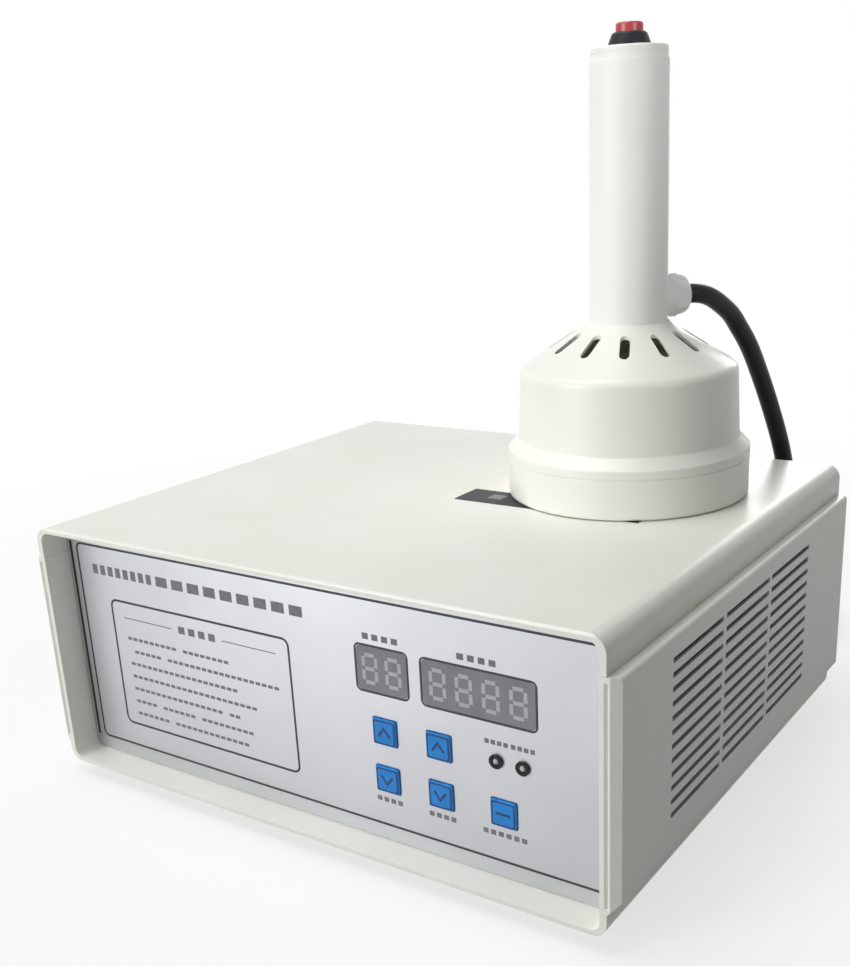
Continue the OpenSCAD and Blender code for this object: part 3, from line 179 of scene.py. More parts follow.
# The grain of moulds and inks is drawn coarser than the real one, so that it shows
FINISHES = {
    # Ivory ABS from a lightly textured mould: satin, with a hardly visible grain
    "case_abs": finish(
        "moulded_abs_ivory", ("#ECECE3", "#F1F1EA"), patch_mm=60, grain_mm=0.5, relief_mm=0.02,
        roughness=(0.3, 0.42), IOR=1.53,
    ),
    "panel_film": silver_film(),
    # Moulded rubber: black, matte and slightly dusty
    "foot_rubber": finish(
        "moulded_rubber_black", ("#131316", "#1F1F22"), patch_mm=5, grain_mm=0.6, relief_mm=0.05,
        roughness=(0.6, 0.8), IOR=1.52,
    ),
    # Steel with a bright zinc plate: a cool metal with fine spangles in its gloss
    "zinc_steel": finish(
        "zinc_plated_steel", ("#ABAEB1", "#BFC2C5"), patch_mm=2, grain_mm=0.6, relief_mm=0.01,
        roughness=(0.22, 0.4), Metallic=1,
    ),
    # Thin dark film with a semi-gloss face
    "dark_strip": finish(
        "printed_film_dark", ("#121317", "#181A1F"), patch_mm=10, grain_mm=0.5, relief_mm=0.01,
        roughness=(0.48, 0.6), IOR=1.4,
    ),
    # Cast acrylic tinted grey: smooth and glossy, so it takes on the light of the room
    "window_acrylic": finish(
        "smoked_acrylic", ("#7F8187", "#888A90"), patch_mm=12, grain_mm=2, relief_mm=0.01,
        roughness=(0.1, 0.18), IOR=1.49,
    ),
    # Black ABS from a fine textured mould: dull, and a little grey at grazing angles
    "black_plastic": finish(
        "moulded_abs_black", ("#111216", "#191A1E"), patch_mm=9, grain_mm=0.35, relief_mm=0.02,
        roughness=(0.35, 0.5), IOR=1.53, Specular_IOR_Level=0.25,
    ),
    # Blue ABS key caps, polished mould: an even colour with a soft highlight
    "key_blue": finish(
        "moulded_abs_blue", ("#2180CF", "#278ADE"), patch_mm=5, grain_mm=0.4, relief_mm=0.012,
        roughness=(0.24, 0.36), IOR=1.53, Specular_IOR_Level=0.3,
    ),
    # Diffused epoxy of an unlit lamp: grey and milky
    "lamp_lens": finish(
        "diffused_epoxy_grey", ("#AAACAC", "#B8BABA"), patch_mm=2, grain_mm=0.5, relief_mm=0.01,
        roughness=(0.18, 0.28), IOR=1.55,
    ),
    # Glass-epoxy board under green solder mask, with a faint weave in its gloss
    "circuit_board": finish(
        "solder_mask_green", ("#27613D", "#317049"), patch_mm=7, grain_mm=0.8, relief_mm=0.02,
        roughness=(0.28, 0.42), IOR=1.5,
    ),
    # Extruded aluminium: pale metal with soft gloss
    "aluminium": finish(
        "extruded_aluminium", ("#BBBEC1", "#CACDD0"), patch_mm=8, grain_mm=0.8, relief_mm=0.02,
        roughness=(0.32, 0.48), Metallic=1,
    ),
    # Shrink sleeve on a capacitor can: dark blue-black and glossy
    "capacitor_sleeve": finish(
        "shrink_sleeve_dark", ("#13161F", "#1B1E29"), patch_mm=8, grain_mm=1.2, relief_mm=0.02,
        roughness=(0.2, 0.32), IOR=1.54,
    ),
    # Moulded blue box of a film capacitor, closed with epoxy
    "capacitor_blue": finish(
        "moulded_box_blue", ("#244983", "#2C5698"), patch_mm=7, grain_mm=0.6, relief_mm=0.02,
        roughness=(0.28, 0.42), IOR=1.53,
    ),
    # Copper wire under clear brown enamel
    "copper": finish(
        "enamelled_copper", ("#A26033", "#B97140"), patch_mm=3, grain_mm=0.8, relief_mm=0.03,
        roughness=(0.24, 0.38), Metallic=1,
    ),
    # Pressed and sintered ferrite: dark grey ceramic with a dry face
    "ferrite": finish(
        "sintered_ferrite", ("#303133", "#3E3F41"), patch_mm=3, grain_mm=0.4, relief_mm=0.04,
        roughness=(0.52, 0.68), IOR=1.8,
    ),
    # Machined brass with a thin nickel flash: a pale warm metal
    "brass": finish(
        "nickel_flashed_brass", ("#C4AE6D", "#D3BF81"), patch_mm=2, grain_mm=0.4, relief_mm=0.01,
        roughness=(0.18, 0.32), Metallic=1,
    ),
    # Black nylon of a switch rocker: smoother than the parts around it
    "rocker_black": finish(
        "moulded_nylon_black", ("#101114", "#16171A"), patch_mm=6, grain_mm=0.6, relief_mm=0.01,
        roughness=(0.24, 0.34), IOR=1.53,
    ),
    # Natural light grey nylon: milky, so light goes a little way into it
    "gland_nylon": finish(
        "moulded_nylon_grey", ("#F1F2EE", "#F7F8F5"), patch_mm=6, grain_mm=0.5, relief_mm=0.02,
        roughness=(0.3, 0.42), IOR=1.53, Subsurface_Weight=0.15, Subsurface_Scale=0.002,
    ),
    # Paper phenolic sheet: tan, with a sawn, dry face
    "phenolic": finish(
        "paper_phenolic_tan", ("#BDA577", "#CDB68B"), patch_mm=6, grain_mm=0.6, relief_mm=0.04,
        roughness=(0.48, 0.62), IOR=1.6,
    ),
    # Red ABS button, worn a little dull by thumbs
    "button_red": finish(
        "moulded_abs_red", ("#AE343C", "#BE4048"), patch_mm=4, grain_mm=0.5, relief_mm=0.02,
        roughness=(0.26, 0.42), IOR=1.53,
    ),
    # Black PVC jacket: satin, with faint ripples left by extrusion
    "cable_rubber": finish(
        "extruded_pvc_black", ("#0D0F12", "#13151A"), patch_mm=14, grain_mm=1.6, relief_mm=0.06,
        roughness=(0.32, 0.48), IOR=1.5, Specular_IOR_Level=0.2,
    ),
}
# White ABS of the handle: duller than the case, and a little whiter as painted light for the brighter light that
# falls on the handle
HANDLE_ABS_PAINTED_LIGHTER = finish(
    "moulded_abs_white_painted_lighter", ("#F4F3EF", "#F9F8F4"), patch_mm=50, grain_mm=0.6, relief_mm=0.015,
    roughness=(0.48, 0.6), IOR=1.53,
)
NODE_FINISHES = dict.fromkeys(("handle_tube", "handle_cap"), HANDLE_ABS_PAINTED_LIGHTER)
# Screen ink: dark grey and flat; also used for the painted shadow line at the front film's left edge
DARK_INK_AND_GAP_SHADOW = finish(
    "screen_ink_dark_and_painted_shadow", ("#26282D", "#33353B"), patch_mm=3, grain_mm=0.3, relief_mm=0.004,
    roughness=(0.42, 0.55), IOR=1.5,
)
# Screen ink of the small marks: mid grey and flat
PALE_INK = finish(
    "screen_ink_grey", ("#686B72", "#787B82"), patch_mm=3, grain_mm=0.3, relief_mm=0.004,
    roughness=(0.42, 0.55), IOR=1.5,
)
# Dark blue ink of the marks on the keys, also used for the painted shade line round each key's face
KEY_INK_AND_GAP_SHADE = finish(
    "pad_ink_navy_and_painted_shade", ("#0C2D5C", "#133B74"), patch_mm=1.5, grain_mm=0.3, relief_mm=0.004,
    roughness=(0.38, 0.5), IOR=1.5,
)
# White pad print on a switch
WHITE_INK = finish(
    "pad_ink_white", ("#E0E0DB", "#EDEDE9"), patch_mm=1.5, grain_mm=0.3, relief_mm=0.004,
    roughness=(0.42, 0.55), IOR=1.5,
)
# Diffusing resin of an unlit display segment: pale grey behind a tinted window
SEGMENT = finish(
    "segment_resin_unlit", ("#B2B4B9", "#BCBEC3"), patch_mm=4, grain_mm=1, relief_mm=0.006,
    roughness=(0.15, 0.25), IOR=1.5,
)


def paint_cad_nodes():
    """Gives every CAD node its own finish, or else the finish of its material slot."""
    for subpart in frame["record"]["subparts"]:
        node = subpart["node"]
        mesh = frame["nodes"][node].data
        mesh.materials.clear()
        mesh.materials.append(NODE_FINISHES.get(node, FINISHES[subpart["material_slot"]]))


def own(piece, body, slot, *nodes):
    """Lets a new piece ride a body and hides the CAD nodes that it stands for; its slot argument is not used."""
    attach(piece, body)
    if nodes:
        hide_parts(*nodes)


def make_piece(name, mesh, material):
    """Links a mesh as a new object at the origin."""
    mesh.materials.clear()
    mesh.materials.append(material)
    piece = bpy.data.objects.new(name, mesh)
    bpy.context.scene.collection.objects.link(piece)
    return piece


def mesh_of(name, bm):
    """Closes a bmesh into a mesh with outward faces."""
    bmesh.ops.recalc_face_normals(bm, faces=bm.faces)
    mesh = bpy.data.meshes.new(name)
    bm.to_mesh(mesh)
    bm.free()
    return mesh


# Flat print and painted shade on upright faces, drawn as (x, z) outlines between two y planes, in millimetres

def rounded_loop(x, z, w, h, r, steps=5):
    """Outline of a rectangle with round corners."""
    loop = []
    for quarter, (sx, sz) in enumerate(((1, 1), (-1, 1), (-1, -1), (1, -1))):
        for i in range(steps + 1):
            turn = math.radians(90 * (quarter + i / steps))
            corner_x = x + sx * (w / 2 - r)
            corner_z = z + sz * (h / 2 - r)
            loop.append((corner_x + r * math.cos(turn), corner_z + r * math.sin(turn)))
    return loop


def add_plate(bm, loop, y_front, y_back):
    """Adds a thin plate with this outline."""
    front = [bm.verts.new((x * MM, y_front * MM, z * MM)) for x, z in loop]
    back = [bm.verts.new((x * MM, y_back * MM, z * MM)) for x, z in loop]
    bm.faces.new(front)
    bm.faces.new(list(reversed(back)))
    for i in range(len(loop)):
        j = (i + 1) % len(loop)
        bm.faces.new((front[i], front[j], back[j], back[i]))


def add_line_frame(bm, outer, inner, y_front, y_back):
    """Adds a thin closed line between two outlines that have the same number of points."""
    rings = []
    for loop in (outer, inner):
        rings.append([
            [bm.verts.new((x * MM, y * MM, z * MM)) for x, z in loop] for y in (y_front, y_back)
        ])
    (outer_front, outer_back), (inner_front, inner_back) = rings
    for i in range(len(outer)):
        j = (i + 1) % len(outer)
        bm.faces.new((outer_front[i], outer_front[j], inner_front[j], inner_front[i]))
        bm.faces.new((outer_back[i], inner_back[i], inner_back[j], outer_back[j]))
        bm.faces.new((outer_front[i], outer_back[i], outer_back[j], outer_front[j]))
        bm.faces.new((inner_front[i], inner_front[j], inner_back[j], inner_back[i]))


def node_centre(node):
    """Middle of a CAD node, in millimetres."""
    low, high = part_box(node)
    return (Vector(low) + Vector(high)) / 2 / MM


FILM_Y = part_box("front_film")[0][1] / MM
FILM_MID = node_centre("front_film")
WINDOW_LOW = Vector(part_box("display_windows")[0]) / MM
WINDOW_HIGH = Vector(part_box("display_windows")[1]) / MM
WINDOW_FLANGE = 1.5
WINDOW_Z = (WINDOW_LOW.z + WINDOW_HIGH.z) / 2
WINDOW_H = WINDOW_HIGH.z - WINDOW_LOW.z - 2 * WINDOW_FLANGE
TIME_W = 25.6
COUNT_W = 52.4
TIME_X = WINDOW_LOW.x + WINDOW_FLANGE + TIME_W / 2
COUNT_X = WINDOW_HIGH.x - WINDOW_FLANGE - COUNT_W / 2
WINDOWS = ((TIME_X, TIME_W), (COUNT_X, COUNT_W))


def front_lines():
    """Lines of the front film: its printed border, a printed frame on its left and the window outlines, and a
    painted shadow line along its left edge for the gap between the film and the wall.
    """
    border_x, border_w, border_h, border_r, border_line = 2, 285, 103.4, 3.5, 1.1
    # The line at the film's left edge is painted shadow of the gap between the film and the case wall
    gap_shadow_w, gap_shadow_x = 1.6, 144.2
    notice_x, notice_z, notice_w, notice_h, notice_r, notice_line = -64.8, 61.8, 112.5, 65.5, 4, 1.1
    window_r, window_line, least_r = 2.8, 0.9, 0.4
    rule_z, rule_h, rule_in, rule_out = 85.9, 0.35, 16, 48
    bm = bmesh.new()
    y_front, y_back = FILM_Y - INK_T, FILM_Y
    frames = [
        (border_x, FILM_MID.z, border_w, border_h, border_r, border_line),
        (notice_x, notice_z, notice_w, notice_h, notice_r, notice_line),
    ]
    window_h = WINDOW_H + 2 * window_line
    for x, w in WINDOWS:
        frames.append((x, WINDOW_Z, w + 2 * window_line, window_h, window_r, window_line))
    for x, z, w, h, r, line in frames:
        outer = rounded_loop(x, z, w, h, r)
        inner = rounded_loop(x, z, w - 2 * line, h - 2 * line, max(r - line, least_r))
        add_line_frame(bm, outer, inner, y_front, y_back)
    for side in (-1, 1):
        x = notice_x + side * (rule_in + rule_out) / 2
        rule = rounded_loop(x, rule_z, rule_out - rule_in, rule_h, rule_h / 3, steps=2)
        add_plate(bm, rule, y_front, y_back)
    # Painted shadow of the gap at the film's left edge
    gap_shadow = rounded_loop(-gap_shadow_x, FILM_MID.z, gap_shadow_w, border_h, gap_shadow_w / 3, steps=2)
    add_plate(bm, gap_shadow, y_front, y_back)
    own(make_piece("front_print_and_shadow_lines", mesh_of("front_print_and_shadow_lines", bm), DARK_INK_AND_GAP_SHADOW), CASE, "panel_film")


def stroke_outline(points, width):
    """Outline of an open bent stroke with square ends."""
    least_cosine = 0.3
    left, right = [], []
    for i, point in enumerate(points):
        before = Vector(points[max(i - 1, 0)])
        after = Vector(points[min(i + 1, len(points) - 1)])
        incoming = (Vector(point) - before) if i else (after - Vector(point))
        outgoing = (after - Vector(point)) if i < len(points) - 1 else incoming
        incoming.normalize()
        outgoing.normalize()
        middle = (incoming + outgoing).normalized()
        reach = width / 2 / max(middle.dot(incoming), least_cosine)
        normal = Vector((-middle.y, middle.x)) * reach
        left.append(tuple(Vector(point) + normal))
        right.append(tuple(Vector(point) - normal))
    return left + right[::-1]


def key_marks():
    """Arrow or bar on each key, and a thin dark line round its face that is painted shade of the gap round the
    key, riding the key.
    """
    half_w, half_h, stroke, bar_half_w = 2.9, 1.9, 1.0, 3.48
    face_w, face_r, rim = 10.9, 1.1, 0.65
    marks = {
        "time_up": [(-half_w, -half_h), (0, half_h), (half_w, -half_h)],
        "time_down": [(-half_w, half_h), (0, -half_h), (half_w, half_h)],
        "count_up": [(-half_w, -half_h), (0, half_h), (half_w, -half_h)],
        "count_down": [(-half_w, half_h), (0, -half_h), (half_w, half_h)],
        "reset": [(-bar_half_w, 0), (bar_half_w, 0)],
    }
    for body, points in marks.items():
        node = "key_" + body
        centre = node_centre(node)
        face_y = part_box(node)[0][1] / MM
        loop = [(centre.x + x, centre.z + z) for x, z in stroke_outline(points, stroke)]
        bm = bmesh.new()
        add_plate(bm, loop, face_y - INK_T, face_y)
        # Painted shade: a dark line round the key's face stands in for the shadow in the gap round the key
        outer = rounded_loop(centre.x, centre.z, face_w, face_w, face_r)
        inner = rounded_loop(centre.x, centre.z, face_w - 2 * rim, face_w - 2 * rim, face_r)
        add_line_frame(bm, outer, inner, face_y - INK_T, face_y)
        own(make_piece("mark_" + body, mesh_of("mark_" + body, bm), KEY_INK_AND_GAP_SHADE), body, "key_blue")


# Geometry Nodes trees for what repeats

def new_tree(name, inputs):
    """Starts a geometry tree with named number inputs, and returns it with their sockets."""
    tree = bpy.data.node_groups.new(name, "GeometryNodeTree")
    tree.interface.new_socket(name="Geometry", in_out="OUTPUT", socket_type="NodeSocketGeometry")
    for label, kind in inputs.items():
        tree.interface.new_socket(name=label, in_out="INPUT", socket_type=kind)
    return tree, add(tree, "NodeGroupInput").outputs


def end_tree(tree, geometry, material):
    """Ends a tree: real meshes with their material."""
    real = add(tree, "GeometryNodeRealizeInstances", {"Geometry": geometry})
    dressed = add(tree, "GeometryNodeSetMaterial", {"Geometry": real, "Material": material})
    add(tree, "NodeGroupOutput", {"Geometry": dressed})


def grow(name, tree, values, matrix, material):
    """Evaluates a tree with these input values and keeps the result as a plain mesh in place."""
    seed_mesh = bpy.data.meshes.new(name + "_seed")
    holder = bpy.data.objects.new(name + "_seed", seed_mesh)
    bpy.context.scene.collection.objects.link(holder)
    modifier = holder.modifiers.new("tree", "NODES")
    modifier.node_group = tree
    for item in tree.interface.items_tree:
        if item.in_out == "INPUT":
            modifier[item.identifier] = values[item.name]
    bpy.context.view_layer.update()
    evaluated = holder.evaluated_get(bpy.context.evaluated_depsgraph_get())
    mesh = bpy.data.meshes.new_from_object(evaluated)
    holder.modifiers.remove(modifier)
    bpy.data.objects.remove(holder)
    mesh.name = name
    mesh.transform(matrix)
    return make_piece(name, mesh, material)


def digits_tree():
    """Row of seven-segment digits in the XY plane, facing +Z."""
    tree, given = new_tree("seven_segment_row", {
        "Digits": "NodeSocketInt", "Pitch": "NodeSocketFloat", "Width": "NodeSocketFloat",
        "Height": "NodeSocketFloat", "Stroke": "NodeSocketFloat", "Depth": "NodeSocketFloat",
    })
    half_width = add(tree, MATH, {0: given["Width"], 1: 2.0}, operation="DIVIDE")
    half_height = add(tree, MATH, {0: given["Height"], 1: 2.0}, operation="DIVIDE")
    quarter_height = add(tree, MATH, {0: given["Height"], 1: 4.0}, operation="DIVIDE")
    level_length = add(tree, MATH, {0: given["Width"], 1: given["Stroke"]}, operation="SUBTRACT")
    upright_length = add(tree, MATH, {0: half_height, 1: given["Stroke"]}, operation="SUBTRACT")
    level_bar = add(tree, "GeometryNodeMeshCube", {
        "Size": add(tree, XYZ, {"X": level_length, "Y": given["Stroke"], "Z": given["Depth"]}),
    })
    upright_bar = add(tree, "GeometryNodeMeshCube", {
        "Size": add(tree, XYZ, {"X": given["Stroke"], "Y": upright_length, "Z": given["Depth"]}),
    })
    bars = []
    for up in (-1.0, 0.0, 1.0):
        bar_y = add(tree, MATH, {0: half_height, 1: up}, operation="MULTIPLY")
        bars.append((level_bar, add(tree, XYZ, {"Y": bar_y})))
    for across in (-1.0, 1.0):
        for up in (-1.0, 1.0):
            bar_x = add(tree, MATH, {0: half_width, 1: across}, operation="MULTIPLY")
            bar_y = add(tree, MATH, {0: quarter_height, 1: up}, operation="MULTIPLY")
            bars.append((upright_bar, add(tree, XYZ, {"X": bar_x, "Y": bar_y})))
    digit = add(tree, "GeometryNodeJoinGeometry")
    for bar, spot in bars:
        placed = add(tree, "GeometryNodeTransform", {"Geometry": bar, "Translation": spot})
        tree.links.new(placed.outputs["Geometry"], digit.inputs["Geometry"])
    steps_back = add(tree, MATH, {0: 1.0, 1: given["Digits"]}, operation="SUBTRACT")
    from_middle = add(tree, MATH, {0: steps_back, 1: 2.0}, operation="DIVIDE")
    first_x = add(tree, MATH, {0: given["Pitch"], 1: from_middle}, operation="MULTIPLY")
    row = add(tree, "GeometryNodeMeshLine", {
        "Count": given["Digits"], "Offset": add(tree, XYZ, {"X": given["Pitch"]}),
        "Start Location": add(tree, XYZ, {"X": first_x}),
    })
    copies = add(tree, "GeometryNodeInstanceOnPoints", {"Points": row, "Instance": digit})
    end_tree(tree, copies, SEGMENT)
    return tree


def facing_front(x, y, z):
    """Matrix that turns +Z to the front and puts a flat piece at this place, in millimetres."""
    return Matrix.Translation(Vector((x, y, z)) * MM) @ Matrix.Rotation(math.radians(90), 4, "X")


def facing_rear(x, y, z):
    """Matrix that turns +Z to the rear and puts a piece at this place, in millimetres."""
    return Matrix.Translation(Vector((x, y, z)) * MM) @ Matrix.Rotation(math.radians(-90), 4, "X")


def display_digits():
    """Unlit digits in the two windows."""
    tree = digits_tree()
    sizes = {"Width": 6.4 * MM, "Height": 12.2 * MM, "Stroke": 1.7 * MM, "Depth": 2 * INK_T * MM}
    time_pitch, count_pitch = 11.8, 12.4
    rows = (("time_digits", TIME_X, 2, time_pitch), ("count_digits", COUNT_X, 4, count_pitch))
    for name, x, count, pitch in rows:
        values = {"Digits": count, "Pitch": pitch * MM, **sizes}
        piece = grow(name, tree, values, facing_front(x, FILM_Y, WINDOW_Z), SEGMENT)
        own(piece, CASE, "window_acrylic")


def dashes_tree():
    """Block of plain dashes in rows of uneven length, in the XY plane, from its upper left corner."""
    tree, given = new_tree("dash_rows", {
        "Rows": "NodeSocketInt", "Row Pitch": "NodeSocketFloat", "Dashes": "NodeSocketInt",
        "Dash Pitch": "NodeSocketFloat", "Dash Length": "NodeSocketFloat",
        "Dash Height": "NodeSocketFloat", "Depth": "NodeSocketFloat", "Shortest": "NodeSocketFloat",
        "Gaps": "NodeSocketFloat", "Seed": "NodeSocketInt",
    })
    total = add(tree, MATH, {0: given["Rows"], 1: given["Dashes"]}, operation="MULTIPLY")
    index = add(tree, "GeometryNodeInputIndex")
    rows_done = add(tree, MATH, {0: index, 1: given["Dashes"]}, operation="DIVIDE")
    row = add(tree, MATH, {0: rows_done, 1: 0.0}, operation="FLOOR")
    row_start = add(tree, MATH, {0: row, 1: given["Dashes"]}, operation="MULTIPLY")
    column = add(tree, MATH, {0: index, 1: row_start}, operation="SUBTRACT")
    along = add(tree, MATH, {0: column, 1: given["Dash Pitch"]}, operation="MULTIPLY")
    down = add(tree, MATH, {0: row, 1: given["Row Pitch"]}, operation="MULTIPLY")
    up = add(tree, MATH, {0: down, 1: -1.0}, operation="MULTIPLY")
    line = add(tree, "GeometryNodeMeshLine", {"Count": total, "Offset": (0, 0, 0)})
    moved = add(tree, "GeometryNodeSetPosition", {
        "Geometry": line, "Position": add(tree, XYZ, {"X": along, "Y": up}),
    })
    length = add(tree, "FunctionNodeRandomValue", {
        "Min": given["Shortest"], "Max": 1.0, "ID": row, "Seed": given["Seed"],
    }, data_type="FLOAT").outputs["Value"]
    space = add(tree, "FunctionNodeRandomValue", {
        "Probability": given["Gaps"], "ID": index, "Seed": given["Seed"],
    }, data_type="BOOLEAN")
    past_end = add(tree, "FunctionNodeCompare", {
        "A": add(tree, MATH, {0: column, 1: given["Dashes"]}, operation="DIVIDE"), "B": length,
    }, data_type="FLOAT", operation="GREATER_EQUAL")
    left_out = add(tree, "FunctionNodeBooleanMath", {0: past_end, 1: space.outputs[3]}, operation="OR")
    kept = add(tree, "GeometryNodeDeleteGeometry", {
        "Geometry": moved, "Selection": left_out,
    }, domain="POINT")
    dash_size = add(tree, XYZ, {
        "X": given["Dash Length"], "Y": given["Dash Height"], "Z": given["Depth"],
    })
    dash = add(tree, "GeometryNodeMeshCube", {"Size": dash_size})
    copies = add(tree, "GeometryNodeInstanceOnPoints", {"Points": kept, "Instance": dash})
    end_tree(tree, copies, PALE_INK)
    return tree


def front_dashes():
    """Rows of plain dashes on the front film."""
    title_z, notice_x, notice_z, notice_mid_x, heading_z = 108.2, -110.7, 75.6, -64.8, 86.2
    title_x, title_end_x = -128.6, -83.8
    above_window, below_key, above_lamp = 4.4, 10, 4.8
    tree = dashes_tree()
    ink = {"Depth": INK_T * MM, "Seed": 5}
    single = {"Rows": 1, "Row Pitch": 0.0, "Shortest": 1.0, "Gaps": 0.0, **ink}
    notice = {
        "Rows": 7, "Row Pitch": 6.6 * MM, "Dashes": 26, "Dash Pitch": 3.7 * MM, "Dash Length": 2.7 * MM,
        "Dash Height": 1.5 * MM, "Shortest": 0.35, "Gaps": 0.06, **ink,
    }
    heading = {
        "Dashes": 4, "Dash Pitch": 6.4 * MM, "Dash Length": 4 * MM, "Dash Height": 3.6 * MM, **single,
    }
    label = {
        "Dashes": 4, "Dash Pitch": 4.9 * MM, "Dash Length": 3.1 * MM, "Dash Height": 2.7 * MM, **single,
    }
    small = {**label, "Dash Pitch": 3.6 * MM, "Dash Length": 2.4 * MM, "Dash Height": 2.2 * MM}
    wide = {**small, "Dashes": 6}
    tiny = {**small, "Dash Pitch": 2.9 * MM, "Dash Length": 2 * MM, "Dash Height": 2 * MM}
    title = {
        "Dashes": 8, "Dash Pitch": 5.2 * MM, "Dash Length": 3.3 * MM, "Dash Height": 4.8 * MM, **single,
    }
    title_end = {**title, "Dashes": 9, "Dash Pitch": 10.1 * MM, "Dash Length": 7.2 * MM}
    places = [
        ("title_row", title, title_x, title_z),
        ("title_row_end", title_end, title_end_x, title_z),
        ("notice_rows", notice, notice_x, notice_z),
    ]
    label_z = WINDOW_Z + WINDOW_H / 2 + above_window
    centred = [
        ("notice_heading", heading, notice_mid_x, heading_z),
        ("time_label", label, TIME_X, label_z),
        ("count_label", label, COUNT_X, label_z),
    ]
    for key, values in (("time_down", small), ("count_down", small), ("reset", wide)):
        centre = node_centre("key_" + key)
        centred.append((key + "_label", values, centre.x, centre.z - below_key))
    lamps_low, lamps_high = (Vector(corner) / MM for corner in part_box("lamp_bezels"))
    lamp_r = (lamps_high.z - lamps_low.z) / 2
    lamp_label_z = lamps_high.z + above_lamp
    centred.append(("first_lamp_label", tiny, lamps_low.x + lamp_r, lamp_label_z))
    centred.append(("second_lamp_label", tiny, lamps_high.x - lamp_r, lamp_label_z))
    for name, values, x, z in centred:
        half_row = (values["Dashes"] - 1) / 2 * values["Dash Pitch"] / MM
        places.append((name, values, x - half_row, z))
    for name, values, x, z in places:
        piece = grow(name, tree, values, facing_front(x, FILM_Y - INK_T / 2, z), PALE_INK)
        own(piece, CASE, "panel_film")


def wire_guard_tree():
    """Round-wire finger guard in the XY plane: rings on crossed bars that end in eyes."""
    bars, first_bar_turn, ring_lift = 4, 45, 1.9
    ring_steps, eye_steps, wire_steps = 96, 32, 10
    tree, given = new_tree("wire_guard", {
        "Rings": "NodeSocketInt", "First Ring": "NodeSocketFloat", "Ring Pitch": "NodeSocketFloat",
        "Wire": "NodeSocketFloat", "Bar Z": "NodeSocketFloat", "Eye At": "NodeSocketFloat",
        "Eye": "NodeSocketFloat",
    })
    index = add(tree, "GeometryNodeInputIndex")
    further_out = add(tree, MATH, {0: index, 1: given["Ring Pitch"]}, operation="MULTIPLY")
    ring_size = add(tree, MATH, {0: given["First Ring"], 1: further_out}, operation="ADD")
    above_bars = add(tree, MATH, {0: given["Wire"], 1: ring_lift}, operation="MULTIPLY")
    ring_z = add(tree, MATH, {0: given["Bar Z"], 1: above_bars}, operation="ADD")
    ring_points = add(tree, "GeometryNodeMeshLine", {
        "Count": given["Rings"], "Start Location": add(tree, XYZ, {"Z": ring_z}), "Offset": (0, 0, 0),
    })
    ring = add(tree, "GeometryNodeCurvePrimitiveCircle", {"Resolution": ring_steps, "Radius": 1.0})
    rings = add(tree, "GeometryNodeInstanceOnPoints", {
        "Points": ring_points, "Instance": ring,
        "Scale": add(tree, XYZ, {"X": ring_size, "Y": ring_size, "Z": 1.0}),
    })
    bar_start = add(tree, MATH, {0: given["First Ring"], 1: given["Wire"]}, operation="SUBTRACT")
    bar_end = add(tree, MATH, {0: given["Eye At"], 1: given["Eye"]}, operation="SUBTRACT")
    bar_line = add(tree, "GeometryNodeCurvePrimitiveLine", {
        "Start": add(tree, XYZ, {"X": bar_start}), "End": add(tree, XYZ, {"X": bar_end}),
    })
    eye_ring = add(tree, "GeometryNodeCurvePrimitiveCircle", {
        "Resolution": eye_steps, "Radius": given["Eye"],
    })
    eye = add(tree, "GeometryNodeTransform", {
        "Geometry": eye_ring, "Translation": add(tree, XYZ, {"X": given["Eye At"]}),
    })
    arm = add(tree, "GeometryNodeJoinGeometry", {"Geometry": bar_line})
    tree.links.new(eye.outputs["Geometry"], arm.inputs["Geometry"])
    later_turn = add(tree, MATH, {0: index, 1: math.radians(360 / bars)}, operation="MULTIPLY")
    arm_turn = add(tree, MATH, {0: math.radians(first_bar_turn), 1: later_turn}, operation="ADD")
    arm_points = add(tree, "GeometryNodeMeshLine", {
        "Count": bars, "Start Location": add(tree, XYZ, {"Z": given["Bar Z"]}), "Offset": (0, 0, 0),
    })
    arms = add(tree, "GeometryNodeInstanceOnPoints", {
        "Points": arm_points, "Instance": arm, "Rotation": add(tree, XYZ, {"Z": arm_turn}),
    })
    wires = add(tree, "GeometryNodeJoinGeometry", {"Geometry": rings})
    tree.links.new(arms.outputs["Instances"], wires.inputs["Geometry"])
    loose = add(tree, "GeometryNodeRealizeInstances", {"Geometry": wires})
    section = add(tree, "GeometryNodeCurvePrimitiveCircle", {
        "Resolution": wire_steps, "Radius": given["Wire"],
    })
    round_wire = add(tree, "GeometryNodeCurveToMesh", {
        "Curve": loose, "Profile Curve": section, "Fill Caps": True,
    })
    smooth_wire = add(tree, "GeometryNodeSetShadeSmooth", {"Geometry": round_wire})
    end_tree(tree, smooth_wire, FINISHES["zinc_steel"])
    return tree


